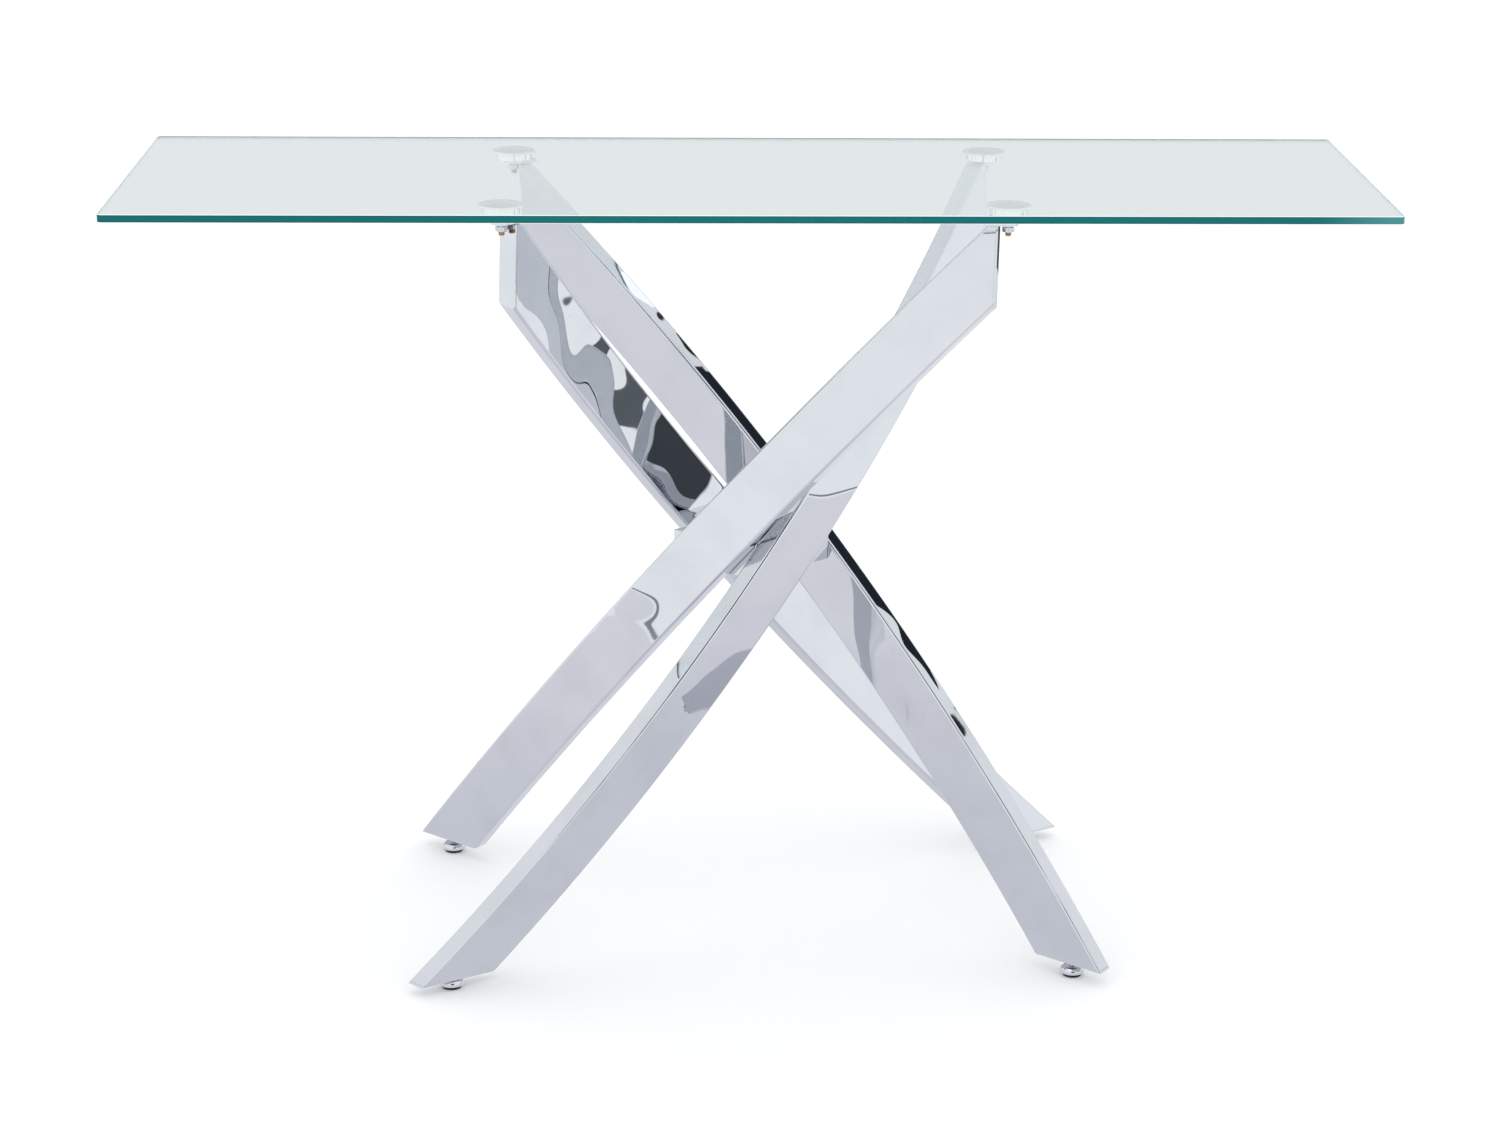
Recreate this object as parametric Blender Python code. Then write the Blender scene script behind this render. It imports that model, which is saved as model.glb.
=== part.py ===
"""Console table: a glass top on four crossed, bowed flat-tube legs around a small hub.

Every leg runs from the pad under one corner of the glass to the foot under the opposite corner.
On the way it bows outwards and lies flat against one side of the hub. The table looks the same
after half a turn, so the pieces of two legs are modelled and each is placed twice.

Metres, +Z up. The origin is on the floor under the middle of the glass, +X along the length.
"""

import math

import bmesh
import bpy
from mathutils import Matrix, Vector

# ---------------------------------------------------------------- overall sizes
TABLE_HEIGHT = 0.770        # floor to the top of the glass
GLASS_LENGTH = 1.200
GLASS_DEPTH = 0.400
GLASS_THICKNESS = 0.008
GLASS_CORNER_RADIUS = 0.005
GLASS_ARRIS = 0.0007        # ground-off edge, top and bottom

# ---------------------------------------------------------------- clearances
GAP = 0.0003                # between pieces that touch on the real table
THREAD_GAP = 0.00025        # between a plain-modelled thread and its hole, on the radius
SCREW_HOLE_GAP = 0.0003     # between a screw and its clearance hole, on the radius

# ---------------------------------------------------------------- pads under the glass
PAD_PLACE_X = 0.237         # pad centre from the middle of the table
PAD_PLACE_Y = 0.138
PAD_FLANGE_RADIUS = 0.0210
PAD_FLANGE_THICKNESS = 0.0020
PAD_BODY_RADIUS = 0.0175
PAD_HEIGHT = 0.0093
PAD_CHAMFER = 0.0005
PAD_THREAD_DEPTH = 0.0065

# ---------------------------------------------------------------- M6 hardware under the pads
STUD_RADIUS = 0.0030
STUD_CHAMFER = 0.0006
STUD_PROUD = 0.0040         # thread showing below the nut
NUT_FLATS = 0.0100
NUT_HEIGHT = 0.0050
WASHER_RADIUS = 0.0060
WASHER_THICKNESS = 0.0012
LUG_THICKNESS = 0.0030
LUG_HOLE_RADIUS = 0.0034

# ---------------------------------------------------------------- legs
TUBE_WIDTH = 0.060
TUBE_THICKNESS = 0.020
TUBE_WALL = 0.0015
TUBE_CORNER_RADIUS = 0.0030
LEG_AXIS_DROP = 0.047       # top of the glass down to a leg's centre line at its pad
PASS_HEIGHT_SHARE = 0.5312  # of the table's height, where the legs pass the hub
PASS_ROOM_SHARE = 0.63      # of a tube's width and thickness, for one leg to clear another
PASS_REACH_SHARE = 0.53       # of the hub's reach, which already parts the legs
PASS_ROOM_SPARE = 0.012414    # less what the lean of the legs already gives
END_CAP_THICKNESS = 0.0020
FOOT_PLATE_THICKNESS = 0.0020
LEG_BEND_STEPS = 20         # facets along a bent leg

# Leg 1 of each pair starts on the right; half a turn about the table's axis gives the other one.
CLIMBING_PAIR = {
    "names": (("front_right", "rear_left"), ("rear_left", "front_right")),
    "pad": (PAD_PLACE_X, -PAD_PLACE_Y),
    "foot": (-0.315, 0.172),
    "floor_gap": 0.0150,    # floor up to the cut at the bottom of the leg
    "passes": 1,            # over the other pair
    "lug_reach": 0.0115,
}
FALLING_PAIR = {
    "names": (("rear_right", "front_left"), ("front_left", "rear_right")),
    "pad": (PAD_PLACE_X, PAD_PLACE_Y),
    "foot": (-0.296, -0.186),
    "floor_gap": 0.0105,
    "passes": -1,
    "lug_reach": 0.0095,
}

# ---------------------------------------------------------------- hub and its screws
HUB_REACH = 0.0462          # the table's axis to the inner wide face of a leg
HUB_DROP = 0.0145           # middle of the hub below the mean height of the legs there
HUB_HEIGHT = 0.035
HUB_WALL = 0.0030
HUB_CORNER_RADIUS = 0.0015
HUB_RELIEF = 0.0007         # room for the curve of the legs over the hub's flat sides
SCREW_RADIUS = 0.0030
SCREW_HEAD_RADIUS = 0.0050
SCREW_HEAD_HEIGHT = 0.0060
SCREW_SOCKET_FLATS = 0.0050
SCREW_SOCKET_DEPTH = 0.0030
SCREW_SPREAD = 0.51948        # of the hub's reach, between the two screws of a leg
SCREW_END_PROUD = 0.0010    # screw end beyond the nut plate
NUT_PLATE_LENGTH = 0.0440
NUT_PLATE_HEIGHT = 0.0140
NUT_PLATE_THICKNESS = 0.0040

# ---------------------------------------------------------------- levelling feet
STEM_RADIUS = 0.0030
STEM_LENGTH = 0.0175        # above the cup
CUP_RADIUS = 0.0120
CUP_BOTTOM = 0.0036
CUP_TOP = 0.0102
CUP_RIM_HEIGHT = 0.0016
CUP_NECK_RADIUS = 0.0065
CUP_RECESS_RADIUS = 0.0068
CUP_RECESS_DEPTH = 0.0033
FOOT_PAD_RADIUS = 0.0092
FOOT_PAD_EDGE = 0.0006
WELD_NUT_FLATS = 0.0100
WELD_NUT_HEIGHT = 0.0050

# ---------------------------------------------------------------- facets of round pieces
FINE = 32
ROUND = 24
SMALL = 16
CORNER_STEPS = 2
DOME_STEPS = 5
SMOOTH_ANGLE = math.radians(35)

# ---------------------------------------------------------------- heights that follow
GLASS_BOTTOM = TABLE_HEIGHT - GLASS_THICKNESS
PAD_TOP = GLASS_BOTTOM - GAP
PAD_BOTTOM = PAD_TOP - PAD_HEIGHT
LUG_TOP = PAD_BOTTOM - GAP
LUG_BOTTOM = LUG_TOP - LUG_THICKNESS
LEG_TOP = LUG_BOTTOM - GAP
WASHER_TOP = LUG_BOTTOM - GAP
NUT_TOP = WASHER_TOP - WASHER_THICKNESS - GAP
STUD_BOTTOM = NUT_TOP - NUT_HEIGHT - STUD_PROUD
STUD_TOP = PAD_BOTTOM + PAD_THREAD_DEPTH - GAP
PASS_HEIGHT = PASS_HEIGHT_SHARE * TABLE_HEIGHT
PASS_ROOM = PASS_ROOM_SHARE * (TUBE_WIDTH + TUBE_THICKNESS)
PASS_RISE = PASS_ROOM - PASS_REACH_SHARE * HUB_REACH - PASS_ROOM_SPARE
HUB_MIDDLE = PASS_HEIGHT - HUB_DROP
SCREW_PITCH = SCREW_SPREAD * HUB_REACH
HUB_TOP = HUB_MIDDLE + HUB_HEIGHT / 2

UP = Vector((0.0, 0.0, 1.0))


# ---------------------------------------------------------------- materials
def principled(name, colour, roughness, metallic, alpha=1.0):
    """A plain Principled material."""
    material = bpy.data.materials.new(name)
    material.use_nodes = True
    shader = material.node_tree.nodes["Principled BSDF"]
    shader.inputs["Base Color"].default_value = (*colour, 1.0)
    shader.inputs["Roughness"].default_value = roughness
    shader.inputs["Metallic"].default_value = metallic
    shader.inputs["Alpha"].default_value = alpha
    return material


def make_materials():
    """One material for each finish on the table."""
    return {
        "glass": principled("clear_glass", (0.62, 0.86, 0.84), 0.02, 0.0, alpha=0.35),
        "chrome": principled("chrome_plate", (0.80, 0.81, 0.84), 0.06, 1.0),
        "satin": principled("satin_metal", (0.74, 0.76, 0.76), 0.22, 1.0),
        "zinc": principled("zinc_plated_steel", (0.62, 0.63, 0.65), 0.32, 1.0),
        "yellow_zinc": principled("yellow_zinc", (0.62, 0.47, 0.36), 0.35, 1.0),
        "bare": principled("bare_steel", (0.42, 0.42, 0.43), 0.45, 1.0),
        "black": principled("black_plastic", (0.02, 0.02, 0.02), 0.55, 0.0),
    }


# ---------------------------------------------------------------- mesh helpers
def mesh_of(bm, name):
    """Turn a finished bmesh into a mesh with outward faces."""
    bmesh.ops.recalc_face_normals(bm, faces=bm.faces[:])
    mesh = bpy.data.meshes.new(name)
    bm.to_mesh(mesh)
    bm.free()
    return mesh


def smooth(mesh):
    """Shade a mesh smooth, with its real edges sharp."""
    mesh.shade_smooth()
    mesh.set_sharp_from_angle(angle=SMOOTH_ANGLE)
    return mesh


def carved(blank, cutters, name, operation="DIFFERENCE"):
    """The mesh that is left when each cutter mesh has been taken out of the blank."""
    scene = bpy.context.scene.collection
    body = bpy.data.objects.new(name, blank)
    scene.objects.link(body)
    tools = []
    for cutter in cutters:
        tool = bpy.data.objects.new(name + "_cutter", cutter)
        tool.hide_render = True
        tool.display_type = "WIRE"
        scene.objects.link(tool)
        modifier = body.modifiers.new("cut", "BOOLEAN")
        modifier.operation = operation
        modifier.solver = "EXACT"
        modifier.object = tool
        tools.append(tool)
    bpy.context.view_layer.update()
    depsgraph = bpy.context.evaluated_depsgraph_get()
    mesh = bpy.data.meshes.new_from_object(body.evaluated_get(depsgraph))
    mesh.name = name
    for item in [body, *tools]:
        bpy.data.objects.remove(item)
    return mesh


def turned(profile, name, segments):
    """A round piece from its outline (radius, height), which starts and ends on the Z axis."""
    bm = bmesh.new()
    points = [bm.verts.new((radius, 0.0, height)) for radius, height in profile]
    edges = [bm.edges.new(pair) for pair in zip(points, points[1:])]
    bmesh.ops.spin(bm, geom=points + edges, cent=(0, 0, 0), axis=(0, 0, 1),
                   angle=math.tau, steps=segments, use_merge=True)
    bmesh.ops.remove_doubles(bm, verts=bm.verts[:], dist=1e-6)
    return smooth(mesh_of(bm, name))


def ring(outer, inner, bottom, top, name, segments):
    """A flat ring."""
    bm = bmesh.new()
    corners = [(outer, bottom), (outer, top), (inner, top), (inner, bottom)]
    points = [bm.verts.new((radius, 0.0, height)) for radius, height in corners]
    edges = [bm.edges.new((points[i], points[(i + 1) % 4])) for i in range(4)]
    bmesh.ops.spin(bm, geom=points + edges, cent=(0, 0, 0), axis=(0, 0, 1),
                   angle=math.tau, steps=segments, use_merge=True)
    bmesh.ops.remove_doubles(bm, verts=bm.verts[:], dist=1e-6)
    return smooth(mesh_of(bm, name))


def prism(outline, bottom, top, name):
    """An upright prism over a closed outline of (x, y) points."""
    bm = bmesh.new()
    face = bm.faces.new([bm.verts.new((x, y, bottom)) for x, y in outline])
    lifted = bmesh.ops.extrude_face_region(bm, geom=[face])
    raised = [item for item in lifted["geom"] if isinstance(item, bmesh.types.BMVert)]
    bmesh.ops.translate(bm, verts=raised, vec=(0, 0, top - bottom))
    return mesh_of(bm, name)


def polygon(radius, sides, turn=0.0):
    """Corners of a regular polygon about the origin."""
    return [(radius * math.cos(turn + math.tau * i / sides),
             radius * math.sin(turn + math.tau * i / sides)) for i in range(sides)]


def hexagon(flats, turn=0.0):
    """A hexagon with the given size across its flats."""
    return polygon(flats / math.sqrt(3.0), 6, turn)


def rounded_rectangle(width, height, radius, steps):
    """Outline of a rectangle with round corners, about the origin, anticlockwise."""
    outline = []
    for corner in range(4):
        across = (width / 2 - radius) * (1 if corner in (0, 3) else -1)
        along = (height / 2 - radius) * (1 if corner in (0, 1) else -1)
        for step in range(steps + 1):
            angle = math.pi / 2 * (corner + step / steps)
            outline.append((across + radius * math.cos(angle), along + radius * math.sin(angle)))
    return outline


def rod(start, direction, length, radius, segments, name):
    """A plain cylinder from a point along a direction."""
    mesh = prism(polygon(radius, segments), 0.0, length, name)
    turn = direction.to_track_quat("Z", "Y").to_matrix().to_4x4()
    mesh.transform(Matrix.Translation(start) @ turn)
    return mesh


def clipped(bm, point, outward):
    """Cut off what lies beyond a plane and close the cut."""
    geometry = bm.verts[:] + bm.edges[:] + bm.faces[:]
    bmesh.ops.bisect_plane(bm, geom=geometry, dist=1e-7, plane_co=point, plane_no=outward,
                           clear_outer=True)
    bmesh.ops.holes_fill(bm, edges=[edge for edge in bm.edges if edge.is_boundary], sides=0)


# ---------------------------------------------------------------- the bent leg
class Leg:
    """A flat tube bent along one arc, with the directions that its fittings follow.

    The arc passes over the foot, touches the hub's distance from the table's axis, and ends
    under the pad. The wide faces lie along the arc, and the narrow faces are flat.
    """

    def __init__(self, pair):
        self.pad = Vector((*pair["pad"], TABLE_HEIGHT - LEG_AXIS_DROP))
        self.foot = Vector((*pair["foot"], pair["floor_gap"]))
        self.foot_plate_top = self.foot.z + FOOT_PLATE_THICKNESS
        run = (self.foot - self.pad).to_2d().normalized()
        outward = Vector((run.y, -run.x))
        if outward.y > 0:
            outward = -outward
        aside = outward * (HUB_REACH + TUBE_THICKNESS / 2)
        middle = Vector((*aside, PASS_HEIGHT + pair["passes"] * PASS_RISE))
        self._fit_arc(self.pad, middle, self.foot)
        self.end_direction = -self.tangent(0.0).to_2d().normalized().to_3d()
        self.end_place = self.pad.to_2d().to_3d() - self.end_direction * pair["lug_reach"]

    def _fit_arc(self, start, middle, end):
        """Centre, radius and directions of the circle through three points."""
        first = middle - start
        whole = end - start
        normal = first.cross(whole)
        self.centre = start + (normal.cross(first) * whole.length_squared
                               + whole.cross(normal) * first.length_squared
                               ) / (2 * normal.length_squared)
        self.radius = (start - self.centre).length
        self.start_axis = (start - self.centre).normalized()
        self.width_axis = normal.normalized()
        self.side_axis = self.width_axis.cross(self.start_axis)
        arm = end - self.centre
        self.sweep = math.atan2(arm.dot(self.side_axis), arm.dot(self.start_axis))
        if self.width_axis.z < 0:
            self.width_axis = -self.width_axis

    def outward(self, angle):
        """Direction out of the bow, square to the wide faces."""
        return self.start_axis * math.cos(angle) + self.side_axis * math.sin(angle)

    def tangent(self, angle):
        """Direction along the leg towards its foot."""
        direction = self.side_axis * math.cos(angle) - self.start_axis * math.sin(angle)
        return direction * math.copysign(1.0, self.sweep)

    def point(self, angle):
        """A point of the centre line."""
        return self.centre + self.outward(angle) * self.radius

    def angle_at_height(self, height):
        """Where the centre line passes a height."""
        low, high = 0.0, self.sweep
        for _ in range(50):
            half = (low + high) / 2
            if self.point(half).z > height:
                low = half
            else:
                high = half
        return (low + high) / 2

    def bar(self, shrink=0.0, spare=0.07):
        """The bent bar, longer than the leg by the spare at both ends, as a bmesh."""
        extra = math.copysign(spare / self.radius, self.sweep)
        outline = rounded_rectangle(TUBE_WIDTH - 2 * shrink, TUBE_THICKNESS - 2 * shrink,
                                    TUBE_CORNER_RADIUS - shrink / 2, CORNER_STEPS)
        bm = bmesh.new()
        first = self.outward(-extra)
        corners = [self.centre + first * (self.radius + b) + self.width_axis * a for a, b in outline]
        face = bm.faces.new([bm.verts.new(corner) for corner in corners])
        axis = self.start_axis.cross(self.side_axis)
        bmesh.ops.spin(bm, geom=[face], cent=self.centre, axis=axis,
                       angle=self.sweep + 2 * extra, steps=LEG_BEND_STEPS)
        return bm

    def tube(self, screw_axes):
        """The tube itself, cut to length and drilled for its screws."""
        bm = self.bar()
        clipped(bm, self.end_place, self.end_direction)
        clipped(bm, (0, 0, LEG_TOP), UP)
        clipped(bm, (0, 0, self.foot_plate_top + GAP), -UP)
        hollow = mesh_of(self.bar(shrink=TUBE_WALL, spare=0.09), "hollow")
        drills = [rod(place, direction, HUB_WALL + 2 * TUBE_WALL + GAP,
                      SCREW_RADIUS + SCREW_HOLE_GAP, SMALL, "drill")
                  for place, direction in screw_axes]
        return smooth(carved(mesh_of(bm, "blank"), [hollow, *drills], "leg_tube"))

    def end_cap(self):
        """The plate over the vertical cut at the top of the tube."""
        bm = self.bar()
        inner = self.end_place + self.end_direction * GAP
        clipped(bm, inner, -self.end_direction)
        clipped(bm, inner + self.end_direction * END_CAP_THICKNESS, self.end_direction)
        clipped(bm, (0, 0, LEG_TOP), UP)
        return smooth(mesh_of(bm, "end_cap"))

    def foot_plate(self):
        """The plate under the tube, with the hole for the foot's stem."""
        bm = self.bar()
        clipped(bm, self.foot, -UP)
        clipped(bm, (0, 0, self.foot_plate_top), UP)
        drill = rod(Vector((self.foot.x, self.foot.y, 0.0)), UP, 2 * self.foot_plate_top,
                    STEM_RADIUS + THREAD_GAP, SMALL, "drill")
        return smooth(carved(mesh_of(bm, "blank"), [drill], "foot_plate"))

    def lug(self):
        """The bar over the cut top of the tube, reaching out to the pad's stud."""
        half = TUBE_THICKNESS / 2
        inner_end = -2 * TUBE_WIDTH
        outline = [(inner_end, -half)]
        for step in range(SMALL // 2 + 1):
            angle = math.pi * (step / (SMALL // 2) - 0.5)
            outline.append((half * math.cos(angle), half * math.sin(angle)))
        outline.append((inner_end, half))
        bm = bmesh.new()
        bm.from_mesh(prism(outline, LUG_BOTTOM, LUG_TOP, "blank"))
        along = math.atan2(self.end_direction.y, self.end_direction.x)
        place = Matrix.Translation((self.pad.x, self.pad.y, 0.0)) @ Matrix.Rotation(along, 4, "Z")
        bmesh.ops.transform(bm, matrix=place, verts=bm.verts[:])
        upper_face = self.centre + self.width_axis * (TUBE_WIDTH / 2)
        clipped(bm, upper_face, self.width_axis)
        drill = rod(Vector((self.pad.x, self.pad.y, LUG_BOTTOM - LUG_THICKNESS)), UP,
                    3 * LUG_THICKNESS, LUG_HOLE_RADIUS, SMALL, "drill")
        return smooth(carved(mesh_of(bm, "blank"), [drill], "lug"))


# ---------------------------------------------------------------- the hub
class HubSide:
    """One flat side of the hub, and the two screws that go through it into a leg."""

    def __init__(self, leg):
        angle = leg.angle_at_height(HUB_MIDDLE)
        self.normal = leg.outward(angle)
        self.level = UP.cross(self.normal).normalized()
        self.leg_middle = leg.point(angle)
        self.face_depth = TUBE_THICKNESS / 2 + GAP + HUB_RELIEF
        self.face_point = self.leg_middle - self.normal * self.face_depth

    def half_turned(self):
        """The opposite side, half a turn about the table's axis."""
        turn = Matrix.Rotation(math.pi, 3, "Z")
        other = HubSide.__new__(HubSide)
        other.normal = turn @ self.normal
        other.level = turn @ self.level
        other.leg_middle = turn @ self.leg_middle
        other.face_depth = self.face_depth
        other.face_point = turn @ self.face_point
        return other

    def screw_starts(self):
        """Where the two screws pass the inside of the hub's wall."""
        inside = self.face_point - self.normal * HUB_WALL
        return [inside + self.level * offset for offset in (-SCREW_PITCH / 2, SCREW_PITCH / 2)]

    def screw_axes(self):
        """Start and direction of each screw."""
        return [(start, self.normal) for start in self.screw_starts()]


def corner_of(first, second, height, inset):
    """The point where two hub sides, moved in by the inset, meet at a height."""
    planes = []
    for side in (first, second):
        point = side.face_point - side.normal * inset
        planes.append((side.normal.x, side.normal.y, side.normal.dot(point) - side.normal.z * height))
    (a, b, c), (d, e, f) = planes
    size = a * e - b * d
    return Vector(((c * e - b * f) / size, (a * f - c * d) / size, height))


def hub_prism(sides, bottom, top, inset, name, corner_radius=0.0):
    """A block bounded by the four sides, moved in by an inset."""
    bm = bmesh.new()
    rings = []
    for height in (bottom, top):
        rings.append([bm.verts.new(corner_of(sides[i], sides[(i + 1) % 4], height, inset))
                      for i in range(4)])
    uprights = [bm.edges.new(pair) for pair in zip(*rings)]
    bm.faces.new(rings[0])
    bm.faces.new(rings[1])
    for i in range(4):
        after = (i + 1) % 4
        bm.faces.new((rings[0][i], rings[0][after], rings[1][after], rings[1][i]))
    if corner_radius:
        bmesh.ops.bevel(bm, geom=uprights, offset=corner_radius, offset_type="OFFSET",
                        segments=CORNER_STEPS, profile=0.5, affect="EDGES", material=-1)
    return mesh_of(bm, name)


def make_hub(sides):
    """The hollow hub, closed above, open below and drilled through its sides."""
    blank = hub_prism(sides, HUB_TOP - HUB_HEIGHT, HUB_TOP, 0.0, "blank", HUB_CORNER_RADIUS)
    room = hub_prism(sides, HUB_TOP - 2 * HUB_HEIGHT, HUB_TOP - HUB_WALL, HUB_WALL, "room")
    drills = []
    for side in sides:
        for start, direction in side.screw_axes():
            drills.append(rod(start - direction * HUB_WALL, direction, 3 * HUB_WALL,
                              SCREW_RADIUS + SCREW_HOLE_GAP, SMALL, "drill"))
    return smooth(carved(blank, [room, *drills], "hub"))


# ---------------------------------------------------------------- the glass and its pads
def make_glass():
    """The glass top, with round corners and arrised edges."""
    outline = rounded_rectangle(GLASS_LENGTH, GLASS_DEPTH, GLASS_CORNER_RADIUS, 2 * CORNER_STEPS)
    bm = bmesh.new()
    bm.from_mesh(prism(outline, GLASS_BOTTOM, TABLE_HEIGHT, "blank"))
    level = [edge for edge in bm.edges if abs(edge.verts[0].co.z - edge.verts[1].co.z) < 1e-6]
    bmesh.ops.bevel(bm, geom=level, offset=GLASS_ARRIS, offset_type="OFFSET", segments=1,
                    profile=0.5, affect="EDGES", material=-1)
    return smooth(mesh_of(bm, "glass_top"))


def make_pad():
    """A glass pad: a flange on a short body, threaded from below. Its top is at height 0."""
    thread = STUD_RADIUS + THREAD_GAP
    profile = [
        (0.0, 0.0),
        (PAD_FLANGE_RADIUS - PAD_CHAMFER, 0.0),
        (PAD_FLANGE_RADIUS, -PAD_CHAMFER),
        (PAD_FLANGE_RADIUS, PAD_CHAMFER - PAD_FLANGE_THICKNESS),
        (PAD_FLANGE_RADIUS - PAD_CHAMFER, -PAD_FLANGE_THICKNESS),
        (PAD_BODY_RADIUS, -PAD_FLANGE_THICKNESS),
        (PAD_BODY_RADIUS, PAD_CHAMFER - PAD_HEIGHT),
        (PAD_BODY_RADIUS - PAD_CHAMFER, -PAD_HEIGHT),
        (thread, -PAD_HEIGHT),
        (thread, PAD_THREAD_DEPTH - PAD_HEIGHT),
        (0.0, PAD_THREAD_DEPTH - PAD_HEIGHT),
    ]
    return turned(profile, "glass_pad", FINE)


def make_stud():
    """The M6 stud between pad and nut. Its lower end is at height 0."""
    length = STUD_TOP - STUD_BOTTOM
    tip = STUD_RADIUS - STUD_CHAMFER
    profile = [(0.0, 0.0), (tip, 0.0), (STUD_RADIUS, STUD_CHAMFER),
               (STUD_RADIUS, length - STUD_CHAMFER), (tip, length), (0.0, length)]
    return turned(profile, "pad_stud", SMALL)


def make_nut(flats, height, bore, name):
    """A hexagon nut that stands on height 0."""
    blank = prism(hexagon(flats), 0.0, height, "blank")
    drill = rod(Vector((0, 0, -height)), UP, 3 * height, bore, SMALL, "drill")
    return carved(blank, [drill], name)


# ---------------------------------------------------------------- the hub's screws
def make_screw():
    """A socket screw along +Z. Height 0 is the seat of its head."""
    grip = HUB_WALL + HUB_RELIEF + GAP + TUBE_WALL + GAP + NUT_PLATE_THICKNESS
    length = grip + SCREW_END_PROUD
    edge = STUD_CHAMFER
    profile = [
        (0.0, -SCREW_HEAD_HEIGHT),
        (SCREW_HEAD_RADIUS - edge, -SCREW_HEAD_HEIGHT),
        (SCREW_HEAD_RADIUS, edge - SCREW_HEAD_HEIGHT),
        (SCREW_HEAD_RADIUS, -GAP),
        (SCREW_RADIUS, -GAP),
        (SCREW_RADIUS, length - edge),
        (SCREW_RADIUS - edge, length),
        (0.0, length),
    ]
    socket = prism(hexagon(SCREW_SOCKET_FLATS), -2 * SCREW_HEAD_HEIGHT,
                   SCREW_SOCKET_DEPTH - SCREW_HEAD_HEIGHT, "socket")
    return smooth(carved(turned(profile, "blank", SMALL), [socket], "hub_screw"))


def make_nut_plate():
    """The tapped plate inside a leg. Its drilled face is at height 0, its length along X."""
    outline = rounded_rectangle(NUT_PLATE_LENGTH, NUT_PLATE_HEIGHT, TUBE_CORNER_RADIUS, CORNER_STEPS)
    blank = prism(outline, 0.0, NUT_PLATE_THICKNESS, "blank")
    drills = [rod(Vector((offset, 0, -NUT_PLATE_THICKNESS)), UP, 3 * NUT_PLATE_THICKNESS,
                  SCREW_RADIUS + THREAD_GAP, SMALL, "drill")
              for offset in (-SCREW_PITCH / 2, SCREW_PITCH / 2)]
    return carved(blank, drills, "nut_plate")


# ---------------------------------------------------------------- the levelling feet
def make_foot_cup():
    """The domed cup and its threaded stem, hollow below. The floor is at height 0."""
    rim_top = CUP_BOTTOM + CUP_RIM_HEIGHT
    dome = []
    for step in range(1, DOME_STEPS + 1):
        angle = math.pi / 2 * step / DOME_STEPS
        radius = CUP_NECK_RADIUS + (CUP_RADIUS - CUP_NECK_RADIUS) * math.cos(angle)
        dome.append((radius, rim_top + (CUP_TOP - rim_top) * math.sin(angle)))
    recess_top = CUP_BOTTOM + CUP_RECESS_DEPTH
    stem_top = CUP_TOP + STEM_LENGTH
    profile = [(0.0, recess_top), (CUP_RECESS_RADIUS, recess_top), (CUP_RECESS_RADIUS, CUP_BOTTOM),
               (CUP_RADIUS - STUD_CHAMFER, CUP_BOTTOM), (CUP_RADIUS, CUP_BOTTOM + STUD_CHAMFER),
               (CUP_RADIUS, rim_top), *dome, (STEM_RADIUS, CUP_TOP),
               (STEM_RADIUS, stem_top - STUD_CHAMFER), (STEM_RADIUS - STUD_CHAMFER, stem_top),
               (0.0, stem_top)]
    return turned(profile, "foot_cup", ROUND)


def make_foot_pad():
    """The plastic pad pressed into the cup. It stands on the floor at height 0."""
    plug_radius = CUP_RECESS_RADIUS - GAP
    shoulder = CUP_BOTTOM - GAP
    plug_top = CUP_BOTTOM + CUP_RECESS_DEPTH - GAP
    profile = [(0.0, 0.0), (FOOT_PAD_RADIUS - FOOT_PAD_EDGE, 0.0), (FOOT_PAD_RADIUS, FOOT_PAD_EDGE),
               (FOOT_PAD_RADIUS, shoulder), (plug_radius, shoulder), (plug_radius, plug_top),
               (0.0, plug_top)]
    return turned(profile, "foot_pad", ROUND)


# ---------------------------------------------------------------- placing the pieces
def place(name, mesh, material, parent=None, location=(0, 0, 0), rotation=None):
    """One named piece with its own copy of its material."""
    piece = bpy.data.objects.new(name, mesh)
    bpy.context.scene.collection.objects.link(piece)
    piece.parent = parent
    piece.location = location
    if rotation is not None:
        piece.rotation_mode = "QUATERNION"
        piece.rotation_quaternion = rotation
    if not mesh.materials:
        mesh.materials.append(None)
    piece.material_slots[0].link = "OBJECT"
    piece.material_slots[0].material = material
    return piece


def holder(name, turn):
    """An empty on the table's axis that turns what hangs on it."""
    empty = bpy.data.objects.new(name, None)
    bpy.context.scene.collection.objects.link(empty)
    empty.rotation_euler.z = turn
    return empty


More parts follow.
